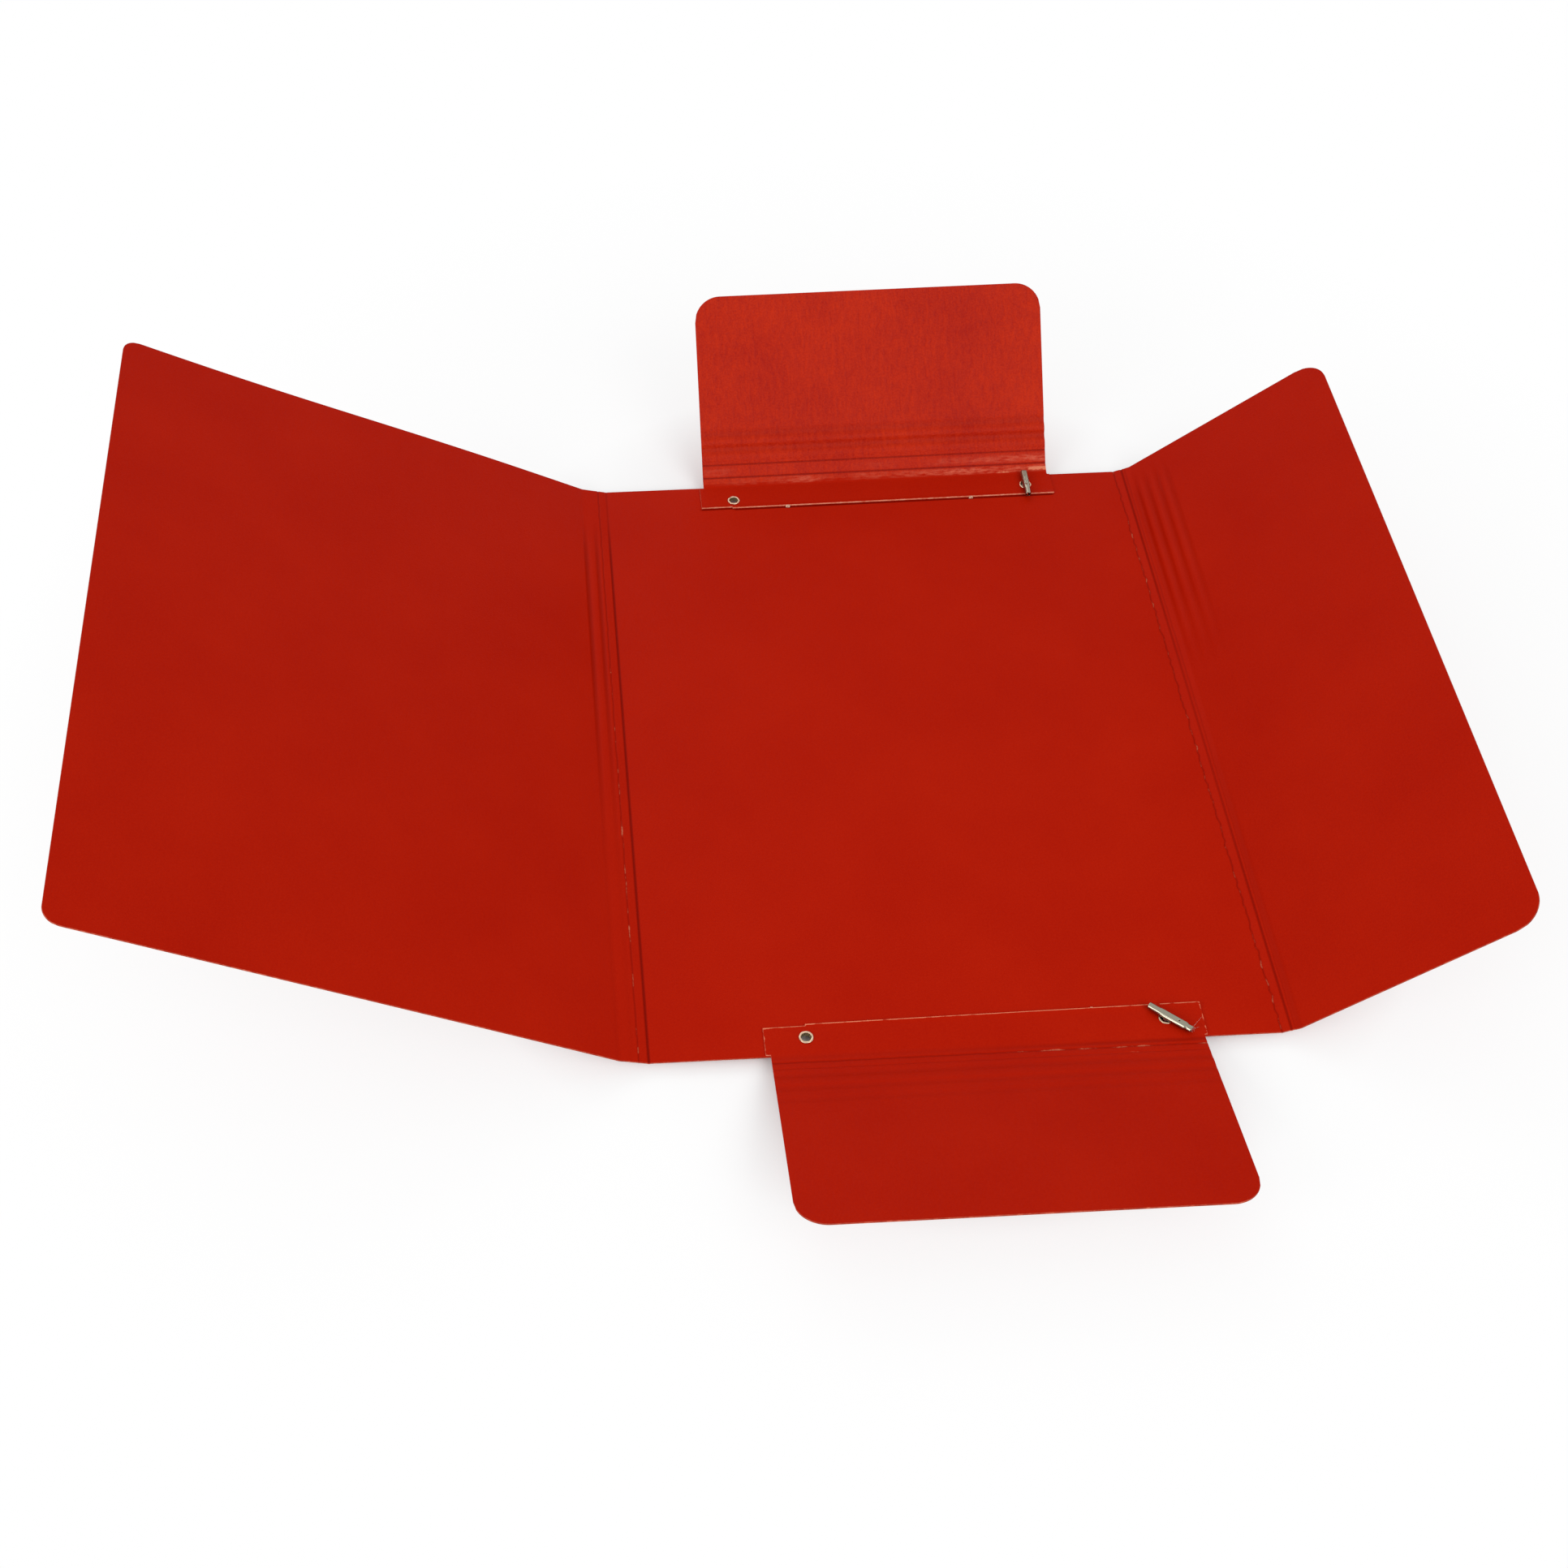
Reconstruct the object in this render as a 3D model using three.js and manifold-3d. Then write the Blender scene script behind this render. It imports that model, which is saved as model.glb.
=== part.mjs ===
// Three flap folder of red laminated board, for A4 papers.
// Millimetres. +X points to the side flap, +Y up the folder's height, +Z up from the table.
// The origin is the middle of the open folder's footprint, on the table.
import * as THREE from 'three';
import { mergeVertices } from 'three/addons/utils/BufferGeometryUtils.js';
import Module from 'manifold-3d';

const wasm = await Module();
wasm.setup();

// Board and back panel
const BOARD = 0.7;
const BACK_WIDTH = 240;
const BACK_HEIGHT = 320;
// Every card edge at a fold stands back this far from the fold line
const FOLD_RELIEF = 0.12;

// Scores: a pressed groove on the inner face with a low bead on the outer face
const SCORE_WIDTH = 1.2;
const SCORE_DEPTH = 0.18;
const SCORE_BEAD = 0.12;

// Front cover, on a spine strip between two folds
const SPINE_WALL = 11.4;
const SPINE_SCORE_FIRST = 3.9;
const SPINE_SCORE_PITCH = 1.7;
const SPINE_SCORES = 2;
const COVER_REACH = 222;
const COVER_CORNER = 7;
const COVER_SLOPE = 26.6;

// Side flap, on a strip of its own
const SIDE_WALL = 7.5;
const SIDE_WALL_SCORE = 3.7;
const SIDE_REACH = 99.3;
const SIDE_CORNER = 12;
const SIDE_SLOPE = 38.2;
const SIDE_SCORE_FIRST = 5.3;
const SIDE_SCORE_PITCH = 5.5;
const SIDE_SCORES = 3;

// Top and bottom flaps: separate cards, each with a tab glued to the back panel
const FLAP_WALL = 4;
const FLAP_REACH = 86.2;
const FLAP_WIDTH = 163.8;
const FLAP_SHIFT = 7.1;
const FLAP_CORNER = 12;
const TOP_SLOPE = 46;
const BOTTOM_SLOPE = 16.2;
const FLAP_SCORE_FIRST = 7.3;
const FLAP_SCORE_PITCH = 6.9;
const FLAP_SCORES = 3;
const TAB_DEPTH = 14.2;
const TAB_STEP = 0.7;
const TAB_STEP_WIDTH = 14.7;
const TAB_CORNER = 0.8;
// Both end cards are glued on slightly turned
const TAB_TURN = 0.6;
// Small pips left on the tab's inner edge where the card was held in its sheet
const PIP_RADIUS = 1;
const PIP_OUT = 0.8;
const PIP_SPACING = 86;

// Eyelets, four alike
const EYELET_BORE = 2;
const EYELET_WALL = 0.3;
const EYELET_CLEARANCE = 0.1;
const EYELET_FLANGE = 2.85;
const EYELET_RISE = 0.5;
const EYELET_INSET = 9;
const EYELET_LEFT = 15.1;
const EYELET_RIGHT = 11.5;

// Elastic cord and the rolled metal barbs on its ends
const CORD_RADIUS = 1.1;
const CORD_BEND = 1.6;
const CORD_END = 0.5;
const CORD_CLEARANCE = 0.1;
const BARB_WALL = 0.35;
const BARB_TUBE_RADIUS = 1.3;
const BARB_LENGTH = 17.8;
const BARB_SEAT_GAP = 0.05;
const BARB_SEAM = 0.7;
const BARB_SHOULDER = 2.6;
const BARB_DIMPLE_RADIUS = 0.35;
const TOP_BARB_BEHIND = 10.3;
const TOP_BARB_TURN = 88;
const BOTTOM_BARB_BEHIND = 6.8;
const BOTTOM_BARB_TURN = -44;

// Values that follow from the ones above
const rad = THREE.MathUtils.degToRad;
const EYELET_HOLE = EYELET_BORE + EYELET_WALL + EYELET_CLEARANCE;
const LEFT_EYELET_X = FLAP_SHIFT - FLAP_WIDTH / 2 + EYELET_LEFT;
const RIGHT_EYELET_X = FLAP_SHIFT + FLAP_WIDTH / 2 - EYELET_RIGHT;
const TAB_TOP = 2 * BOARD;
const BARB_SLEEVE_RADIUS = CORD_RADIUS + CORD_CLEARANCE + BARB_WALL;
const BARB_Z = TAB_TOP + EYELET_RISE + BARB_SEAT_GAP + BARB_SLEEVE_RADIUS;
const CORD_LOW_Z = -(EYELET_RISE + CORD_CLEARANCE + CORD_RADIUS);

const RED = '#a81a0c';
const NICKEL = '#b9b4aa';
const CORD_RED = '#8c1a14';

// How far the turned end card lies up or down at a place across the folder
function lean(x) {
  return (x - FLAP_SHIFT) * Math.tan(rad(TAB_TURN));
}

// Height of an eyelet in the top card (up = 1) or the bottom card (up = -1)
function eyeletY(x, up) {
  return up * (BACK_HEIGHT / 2 - EYELET_INSET) + lean(x);
}

function material(color, metalness, roughness) {
  return new THREE.MeshStandardMaterial({ color, metalness, roughness });
}

function solid(geometry) {
  const bare = new THREE.BufferGeometry();
  bare.setAttribute('position', geometry.getAttribute('position').clone());
  if (geometry.index) {
    bare.setIndex(geometry.index.clone());
  }
  const merged = mergeVertices(bare, 1e-4);
  return new wasm.Manifold(new wasm.Mesh({
    numProp: 3,
    vertProperties: new Float32Array(merged.getAttribute('position').array),
    triVerts: new Uint32Array(merged.index.array),
  }));
}

function geometryOf(manifold) {
  const mesh = manifold.getMesh();
  const geometry = new THREE.BufferGeometry();
  geometry.setAttribute('position', new THREE.BufferAttribute(new Float32Array(mesh.vertProperties), 3));
  geometry.setIndex(new THREE.BufferAttribute(new Uint32Array(mesh.triVerts), 1));
  return geometry;
}

function mesh(name, geometry, look) {
  const piece = new THREE.Mesh(geometry, look);
  piece.name = name;
  return piece;
}

// A flat shape in X and Y made solid between two heights
function slab(shape, low, high, curveSegments = 10) {
  const geometry = new THREE.ExtrudeGeometry(shape, {
    depth: high - low,
    bevelEnabled: false,
    curveSegments,
  });
  geometry.translate(0, 0, low);
  return geometry;
}

// Score centres, evenly spaced
function scoreRow(first, pitch, count) {
  const places = [];
  for (let i = 0; i < count; i += 1) {
    places.push(first + i * pitch);
  }
  return places;
}

// Long section of a card from its fold outwards: inner face at height 0, outer face at -BOARD
function cardSection(start, end, scores) {
  const section = new THREE.Shape();
  section.moveTo(start, 0);
  for (const place of scores) {
    section.lineTo(place - SCORE_WIDTH / 2, 0);
    section.lineTo(place - SCORE_WIDTH / 6, -SCORE_DEPTH);
    section.lineTo(place + SCORE_WIDTH / 6, -SCORE_DEPTH);
    section.lineTo(place + SCORE_WIDTH / 2, 0);
  }
  section.lineTo(end, 0);
  section.lineTo(end, -BOARD);
  for (const place of [...scores].reverse()) {
    section.lineTo(place + SCORE_WIDTH / 2, -BOARD);
    section.lineTo(place + SCORE_WIDTH / 6, -BOARD - SCORE_BEAD);
    section.lineTo(place - SCORE_WIDTH / 6, -BOARD - SCORE_BEAD);
    section.lineTo(place - SCORE_WIDTH / 2, -BOARD);
  }
  section.lineTo(start, -BOARD);
  section.closePath();
  return section;
}

// Card as wide as `width`, its section run along Y
function scoredCard(start, end, width, scores) {
  const geometry = new THREE.ExtrudeGeometry(cardSection(start, end, scores), {
    depth: width,
    bevelEnabled: false,
  });
  geometry.rotateX(Math.PI / 2);
  geometry.translate(0, width / 2, 0);
  return geometry;
}

// Outline of a flap with its two outer corners rounded
function flapOutline(start, end, width, corner) {
  const half = width / 2;
  const outline = new THREE.Shape();
  outline.moveTo(start, -half);
  outline.lineTo(end - corner, -half);
  outline.absarc(end - corner, -half + corner, corner, -Math.PI / 2, 0, false);
  outline.lineTo(end, half - corner);
  outline.absarc(end - corner, half - corner, corner, 0, Math.PI / 2, false);
  outline.lineTo(start, half);
  outline.closePath();
  return outline;
}

function roundedFlap(reach, width, corner, scores) {
  const card = solid(scoredCard(FOLD_RELIEF, reach, width, scores));
  const room = solid(slab(flapOutline(0, reach, width, corner), -4 * BOARD, 2 * BOARD));
  return geometryOf(card.intersect(room));
}

// One side of the folder: a strip on the first fold and a flap on the second.
// Both folds take half of the slope that the flap has in the rest pose.
function foldedSide(side) {
  const hinge = new THREE.Group();
  hinge.position.set(side.x, side.y, side.z);
  hinge.rotation.z = rad(side.heading);
  const firstFold = new THREE.Group();
  firstFold.rotation.y = -rad(side.slope / 2);
  hinge.add(firstFold);
  const strip = scoredCard(FOLD_RELIEF, side.wall - FOLD_RELIEF, side.width, side.wallScores);
  firstFold.add(mesh(side.wallName, strip, material(RED, 0, 0.5)));
  const secondFold = new THREE.Group();
  secondFold.position.x = side.wall;
  secondFold.rotation.y = -rad(side.slope / 2);
  firstFold.add(secondFold);
  const flap = roundedFlap(side.reach, side.width, side.corner, side.scores);
  secondFold.add(mesh(side.flapName, flap, material(RED, 0, 0.5)));
  return hinge;
}

// Tab of the top flap (up = 1) or the bottom flap (up = -1), seen from above.
// Its inner edge steps back at the left end and carries two pips.
function tabOutline(up) {
  const left = FLAP_SHIFT - FLAP_WIDTH / 2;
  const right = FLAP_SHIFT + FLAP_WIDTH / 2;
  const fold = BACK_HEIGHT / 2 - FOLD_RELIEF;
  const inner = (x) => BACK_HEIGHT / 2 - TAB_DEPTH + up * lean(x);
  const stepped = (x) => inner(x) + TAB_STEP;
  const stepEnd = left + TAB_STEP_WIDTH;
  const points = [];
  points.push([left, fold]);
  points.push([left, stepped(left) + TAB_CORNER]);
  points.push([left + TAB_CORNER, stepped(left)]);
  points.push([stepEnd, stepped(stepEnd)]);
  points.push([stepEnd + TAB_STEP, inner(stepEnd)]);
  const halfPip = Math.sqrt(PIP_RADIUS * PIP_RADIUS - (PIP_RADIUS - PIP_OUT) ** 2);
  const sweep = Math.PI - 2 * Math.asin((PIP_RADIUS - PIP_OUT) / PIP_RADIUS);
  for (const pip of [FLAP_SHIFT - PIP_SPACING / 2, FLAP_SHIFT + PIP_SPACING / 2]) {
    points.push([pip - halfPip, inner(pip)]);
    for (let i = 1; i < 8; i += 1) {
      const angle = -Math.PI / 2 - sweep / 2 + (sweep * i) / 8;
      const rise = inner(pip) + PIP_RADIUS - PIP_OUT + PIP_RADIUS * Math.sin(angle);
      points.push([pip + PIP_RADIUS * Math.cos(angle), rise]);
    }
    points.push([pip + halfPip, inner(pip)]);
  }
  points.push([right - TAB_CORNER, inner(right)]);
  points.push([right, inner(right) + TAB_CORNER]);
  points.push([right, fold]);
  if (up < 0) {
    points.reverse();
  }
  return new THREE.Shape(points.map(([x, y]) => new THREE.Vector2(x, up * y)));
}

function roundHole(x, y, radius) {
  const hole = new THREE.Path();
  hole.absarc(x, y, radius, 0, 2 * Math.PI, true);
  return hole;
}

function tab(name, up) {
  const outline = tabOutline(up);
  outline.holes.push(roundHole(LEFT_EYELET_X, eyeletY(LEFT_EYELET_X, up), EYELET_HOLE));
  outline.holes.push(roundHole(RIGHT_EYELET_X, eyeletY(RIGHT_EYELET_X, up), EYELET_HOLE));
  return mesh(name, slab(outline, BOARD, TAB_TOP, 16), material(RED, 0, 0.5));
}

function backPanel() {
  const halfWidth = BACK_WIDTH / 2 - FOLD_RELIEF;
  const halfHeight = BACK_HEIGHT / 2;
  const outline = new THREE.Shape();
  outline.moveTo(-halfWidth, -halfHeight);
  outline.lineTo(halfWidth, -halfHeight);
  outline.lineTo(halfWidth, halfHeight);
  outline.lineTo(-halfWidth, halfHeight);
  outline.closePath();
  for (const x of [LEFT_EYELET_X, RIGHT_EYELET_X]) {
    for (const up of [-1, 1]) {
      outline.holes.push(roundHole(x, eyeletY(x, up), EYELET_HOLE));
    }
  }
  return mesh('back_panel', slab(outline, 0, BOARD, 16), material(RED, 0, 0.5));
}

// Rolled eyelet: a barrel through both cards with a rounded flange on each face
function eyelet(name, x, y) {
  const barrel = EYELET_BORE + EYELET_WALL;
  const crown = (EYELET_BORE + EYELET_FLANGE) / 2;
  const lip = EYELET_RISE * 0.45;
  const profile = [
    [EYELET_BORE, -lip],
    [EYELET_BORE, TAB_TOP + lip],
    [EYELET_BORE + (crown - EYELET_BORE) * 0.4, TAB_TOP + EYELET_RISE * 0.88],
    [crown, TAB_TOP + EYELET_RISE],
    [EYELET_FLANGE - (EYELET_FLANGE - crown) * 0.4, TAB_TOP + EYELET_RISE * 0.8],
    [EYELET_FLANGE, TAB_TOP + lip * 0.6],
    [EYELET_FLANGE, TAB_TOP],
    [barrel, TAB_TOP],
    [barrel, 0],
    [EYELET_FLANGE, 0],
    [EYELET_FLANGE, -lip * 0.6],
    [EYELET_FLANGE - (EYELET_FLANGE - crown) * 0.4, -EYELET_RISE * 0.8],
    [crown, -EYELET_RISE],
    [EYELET_BORE + (crown - EYELET_BORE) * 0.4, -EYELET_RISE * 0.88],
    [EYELET_BORE, -lip],
  ];
  const geometry = new THREE.LatheGeometry(profile.map(([r, z]) => new THREE.Vector2(r, z)).reverse(), 32);
  geometry.rotateX(Math.PI / 2);
  const piece = mesh(name, geometry, material(NICKEL, 0.9, 0.35));
  piece.position.set(x, y, 0);
  return piece;
}

// Points along a quarter bend from one direction into another
function bend(corner, from, to, radius, steps) {
  const centre = corner.clone().addScaledVector(from, -radius).addScaledVector(to, radius);
  const points = [];
  for (let i = 0; i <= steps; i += 1) {
    const angle = (Math.PI / 2) * (i / steps);
    const point = centre.clone();
    point.addScaledVector(to, -radius * Math.cos(angle));
    point.addScaledVector(from, radius * Math.sin(angle));
    points.push(point);
  }
  return points;
}

// Round rod along a line of points, closed at both ends
function rod(points, radius, sides) {
  const vertices = [];
  const faces = [];
  const last = points.length - 1;
  let across = new THREE.Vector3(1, 0, 0);
  for (let i = 0; i <= last; i += 1) {
    const before = points[Math.max(0, i - 1)];
    const after = points[Math.min(last, i + 1)];
    const along = after.clone().sub(before).normalize();
    if (i === 0 && Math.abs(along.x) > 0.9) {
      across = new THREE.Vector3(0, 1, 0);
    }
    across = across.clone().addScaledVector(along, -across.dot(along)).normalize();
    const up = along.clone().cross(across);
    for (let k = 0; k < sides; k += 1) {
      const angle = (2 * Math.PI * k) / sides;
      const point = points[i].clone();
      point.addScaledVector(across, radius * Math.cos(angle));
      point.addScaledVector(up, radius * Math.sin(angle));
      vertices.push(point.x, point.y, point.z);
    }
  }
  vertices.push(points[0].x, points[0].y, points[0].z);
  vertices.push(points[last].x, points[last].y, points[last].z);
  const startCentre = (last + 1) * sides;
  for (let i = 0; i < last; i += 1) {
    for (let k = 0; k < sides; k += 1) {
      const a = i * sides + k;
      const b = i * sides + ((k + 1) % sides);
      faces.push(a, b, b + sides, a, b + sides, a + sides);
    }
  }
  for (let k = 0; k < sides; k += 1) {
    const next = (k + 1) % sides;
    faces.push(startCentre, next, k);
    faces.push(startCentre + 1, last * sides + k, last * sides + next);
  }
  const geometry = new THREE.BufferGeometry();
  geometry.setAttribute('position', new THREE.Float32BufferAttribute(vertices, 3));
  geometry.setIndex(faces);
  return geometry;
}

function heading(turn) {
  return new THREE.Vector3(Math.cos(rad(turn)), Math.sin(rad(turn)), 0);
}

// The cord leaves the bottom barb, drops through its eyelet, runs under the back panel
// and comes up through the top right eyelet into the top barb.
function elasticCord() {
  const up = new THREE.Vector3(0, 0, 1);
  const along = new THREE.Vector3(0, 1, 0);
  const topOut = heading(TOP_BARB_TURN);
  const bottomOut = heading(BOTTOM_BARB_TURN);
  const topReach = BARB_LENGTH - TOP_BARB_BEHIND + CORD_END;
  const bottomReach = BARB_LENGTH - BOTTOM_BARB_BEHIND + CORD_END;
  const bottomY = eyeletY(RIGHT_EYELET_X, -1);
  const topY = eyeletY(RIGHT_EYELET_X, 1);
  const bottomHigh = new THREE.Vector3(RIGHT_EYELET_X, bottomY, BARB_Z);
  const bottomLow = new THREE.Vector3(RIGHT_EYELET_X, bottomY, CORD_LOW_Z);
  const topLow = new THREE.Vector3(RIGHT_EYELET_X, topY, CORD_LOW_Z);
  const topHigh = new THREE.Vector3(RIGHT_EYELET_X, topY, BARB_Z);
  const points = [bottomHigh.clone().addScaledVector(bottomOut, bottomReach)];
  points.push(...bend(bottomHigh, bottomOut.clone().negate(), up.clone().negate(), CORD_BEND, 6));
  points.push(...bend(bottomLow, up.clone().negate(), along, CORD_BEND, 6));
  const runs = 6;
  const start = points[points.length - 1].y;
  const stop = topY - CORD_BEND;
  for (let i = 1; i < runs; i += 1) {
    points.push(new THREE.Vector3(RIGHT_EYELET_X, start + ((stop - start) * i) / runs, CORD_LOW_Z));
  }
  points.push(...bend(topLow, along, up, CORD_BEND, 6));
  points.push(...bend(topHigh, up, topOut, CORD_BEND, 6));
  points.push(topHigh.clone().addScaledVector(topOut, topReach));
  return mesh('elastic_cord', rod(points, CORD_RADIUS, 16), material(CORD_RED, 0, 0.8));
}

// Barb rolled from sheet: an empty tube behind the eyelet and a wider sleeve that
// grips the cord. A seam runs along its underside, opened where the cord comes in.
function barb(name, y, turn, behind) {
  const back = -behind;
  const front = BARB_LENGTH - behind;
  const shoulderEnd = -CORD_RADIUS - CORD_CLEARANCE;
  const shoulderStart = shoulderEnd - BARB_SHOULDER;
  const tubeBore = BARB_TUBE_RADIUS - BARB_WALL;
  const sleeveBore = BARB_SLEEVE_RADIUS - BARB_WALL;
  const profile = [
    [tubeBore, back],
    [BARB_TUBE_RADIUS, back],
    [BARB_TUBE_RADIUS, shoulderStart],
    [BARB_SLEEVE_RADIUS, shoulderEnd],
    [BARB_SLEEVE_RADIUS, front],
    [sleeveBore, front],
    [sleeveBore, shoulderEnd],
    [tubeBore, shoulderStart],
    [tubeBore, back],
  ];
  const turned = new THREE.LatheGeometry(profile.map(([r, s]) => new THREE.Vector2(r, s)), 32);
  turned.rotateZ(-Math.PI / 2);
  const seam = new THREE.BoxGeometry(2 * BARB_LENGTH, BARB_SEAM, 2 * BARB_SLEEVE_RADIUS);
  seam.translate(0, 0, -BARB_SLEEVE_RADIUS);
  const gateLength = 2 * (CORD_RADIUS + CORD_CLEARANCE) + CORD_BEND;
  const gate = new THREE.BoxGeometry(gateLength, 2 * (CORD_RADIUS + CORD_CLEARANCE), 2 * BARB_SLEEVE_RADIUS);
  gate.translate(gateLength / 2 - CORD_RADIUS - CORD_CLEARANCE, 0, -BARB_SLEEVE_RADIUS);
  const dimple = new THREE.CylinderGeometry(BARB_DIMPLE_RADIUS, BARB_DIMPLE_RADIUS, 2 * BARB_WALL, 16);
  dimple.rotateX(Math.PI / 2);
  dimple.translate(front * 0.55, 0, BARB_SLEEVE_RADIUS);
  const shell = solid(turned).subtract(solid(seam)).subtract(solid(gate)).subtract(solid(dimple));
  const piece = mesh(name, geometryOf(shell), material(NICKEL, 0.9, 0.3));
  piece.position.set(RIGHT_EYELET_X, y, BARB_Z);
  piece.rotation.z = rad(turn);
  return piece;
}

function threeFlapFolder() {
  const folder = new THREE.Group();
  folder.name = 'three_flap_folder';
  folder.add(backPanel());
  folder.add(foldedSide({
    x: -BACK_WIDTH / 2,
    y: 0,
    z: BOARD,
    heading: 180,
    slope: COVER_SLOPE,
    width: BACK_HEIGHT,
    wall: SPINE_WALL,
    wallScores: scoreRow(SPINE_SCORE_FIRST, SPINE_SCORE_PITCH, SPINE_SCORES),
    reach: COVER_REACH,
    corner: COVER_CORNER,
    scores: [],
    wallName: 'spine_wall',
    flapName: 'front_cover',
  }));
  folder.add(foldedSide({
    x: BACK_WIDTH / 2,
    y: 0,
    z: BOARD,
    heading: 0,
    slope: SIDE_SLOPE,
    width: BACK_HEIGHT,
    wall: SIDE_WALL,
    wallScores: [SIDE_WALL_SCORE],
    reach: SIDE_REACH,
    corner: SIDE_CORNER,
    scores: scoreRow(SIDE_SCORE_FIRST, SIDE_SCORE_PITCH, SIDE_SCORES),
    wallName: 'side_wall',
    flapName: 'side_flap',
  }));
  const ends = [
    { up: 1, heading: 90, slope: TOP_SLOPE, end: 'top' },
    { up: -1, heading: -90, slope: BOTTOM_SLOPE, end: 'bottom' },
  ];
  for (const { up, heading: turn, slope, end } of ends) {
    folder.add(tab(`${end}_tab`, up));
    folder.add(foldedSide({
      x: FLAP_SHIFT,
      y: up * BACK_HEIGHT / 2,
      z: TAB_TOP,
      heading: turn,
      slope,
      width: FLAP_WIDTH,
      wall: FLAP_WALL,
      wallScores: [],
      reach: FLAP_REACH,
      corner: FLAP_CORNER,
      scores: scoreRow(FLAP_SCORE_FIRST, FLAP_SCORE_PITCH, FLAP_SCORES),
      wallName: `${end}_wall`,
      flapName: `${end}_flap`,
    }));
    folder.add(eyelet(`eyelet_${end}_left`, LEFT_EYELET_X, eyeletY(LEFT_EYELET_X, up)));
    folder.add(eyelet(`eyelet_${end}_right`, RIGHT_EYELET_X, eyeletY(RIGHT_EYELET_X, up)));
  }
  folder.add(elasticCord());
  folder.add(barb('barb_top', eyeletY(RIGHT_EYELET_X, 1), TOP_BARB_TURN, TOP_BARB_BEHIND));
  folder.add(barb('barb_bottom', eyeletY(RIGHT_EYELET_X, -1), BOTTOM_BARB_TURN, BOTTOM_BARB_BEHIND));
  return folder;
}

// The middle of the footprint comes to the origin, and the lowest point to the table
function seatOnTable(folder) {
  const box = new THREE.Box3().setFromObject(folder, true);
  const middle = box.getCenter(new THREE.Vector3());
  folder.position.set(-middle.x, -middle.y, -box.min.z);
  return folder;
}

export default seatOnTable(threeFlapFolder());
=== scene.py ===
"""Three flap folder of red film-laminated board, open on a table."""
import math
import random

import bpy
from mathutils import Matrix, Vector


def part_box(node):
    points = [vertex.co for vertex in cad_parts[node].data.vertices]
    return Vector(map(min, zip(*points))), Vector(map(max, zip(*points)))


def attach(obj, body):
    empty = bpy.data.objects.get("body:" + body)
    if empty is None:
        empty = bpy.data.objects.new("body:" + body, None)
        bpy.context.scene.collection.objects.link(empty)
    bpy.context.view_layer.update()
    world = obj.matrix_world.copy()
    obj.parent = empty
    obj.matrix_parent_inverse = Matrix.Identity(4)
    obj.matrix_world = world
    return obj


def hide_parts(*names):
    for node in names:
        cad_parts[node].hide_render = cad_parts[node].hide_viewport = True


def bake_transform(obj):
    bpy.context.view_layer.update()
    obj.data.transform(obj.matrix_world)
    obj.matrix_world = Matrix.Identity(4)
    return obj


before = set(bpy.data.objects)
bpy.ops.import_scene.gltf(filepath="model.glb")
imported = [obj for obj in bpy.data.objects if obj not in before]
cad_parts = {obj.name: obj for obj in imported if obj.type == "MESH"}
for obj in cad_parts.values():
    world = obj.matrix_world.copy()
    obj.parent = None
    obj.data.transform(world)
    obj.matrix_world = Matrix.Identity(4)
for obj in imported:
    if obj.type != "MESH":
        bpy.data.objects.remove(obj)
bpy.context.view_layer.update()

MM = 0.001

# Sizes of the folder, in millimetres, as in the part
BOARD = 0.7
HALF_WIDTH = 120.0
HALF_HEIGHT = 160.0
CARD_MIDDLE = 7.1       # the end cards stand off the back panel's middle line
CARD_HALF = 81.9
CARD_HALF_AT_FOLD = 81.2
TAB_DEPTH = 14.2
TAB_STEP = 0.7
TAB_STEP_WIDTH = {"top": 14.1, "bottom": 15.9}    # from the left end, uneven as in the photo
TAB_LEFT_MORE = 1.2     # how far a tab reaches past its flap at the left and at the right
TAB_RIGHT_MORE = 0.4
TAB_LEAN = math.tan(math.radians(0.6))
EYELET_INSET = 9.0
EYELET_LEFT = CARD_MIDDLE - CARD_HALF + 15.1
EYELET_RIGHT = CARD_MIDDLE + CARD_HALF - 11.5
COVER_STRIP, COVER_REACH = 11.4, 222.0      # each strip between two folds, and the flap beyond it
SIDE_STRIP, SIDE_REACH = 7.5, 99.3
END_STRIP, END_REACH = 4.0, 86.2

low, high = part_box("back_panel")
MIDDLE = Vector(((low[0] + high[0]) / 2, (low[1] + high[1]) / 2, low[2])) / MM


# Finishes

def linear(hex_colour, alpha=1.0):
    """Turns an sRGB hex colour into Blender's linear one."""
    parts = [int(hex_colour[i:i + 2], 16) / 255 for i in (1, 3, 5)]
    parts = [c / 12.92 if c <= 0.04045 else ((c + 0.055) / 1.055) ** 2.4 for c in parts]
    return (*parts, alpha)


def add_node(tree, kind, settings=None, links=None):
    """Adds a node, sets its fields and sockets, and links its inputs."""
    node = tree.nodes.new(kind)
    for key, value in (settings or {}).items():
        if isinstance(key, str) and hasattr(node, key):
            setattr(node, key, value)
        else:
            node.inputs[key].default_value = value
    for key, source in (links or {}).items():
        tree.links.new(source, node.inputs[key])
    return node


def ramp_stops(node, stops):
    ramp = node.color_ramp
    while len(ramp.elements) > 1:
        ramp.elements.remove(ramp.elements[-1])
    ramp.elements[0].position = stops[0][0]
    ramp.elements[0].color = stops[0][1]
    for place, colour in stops[1:]:
        ramp.elements.new(place).color = colour


def new_material(name):
    material = bpy.data.materials.new(name)
    material.use_nodes = True
    tree = material.node_tree
    tree.nodes.clear()
    return material, tree


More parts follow.
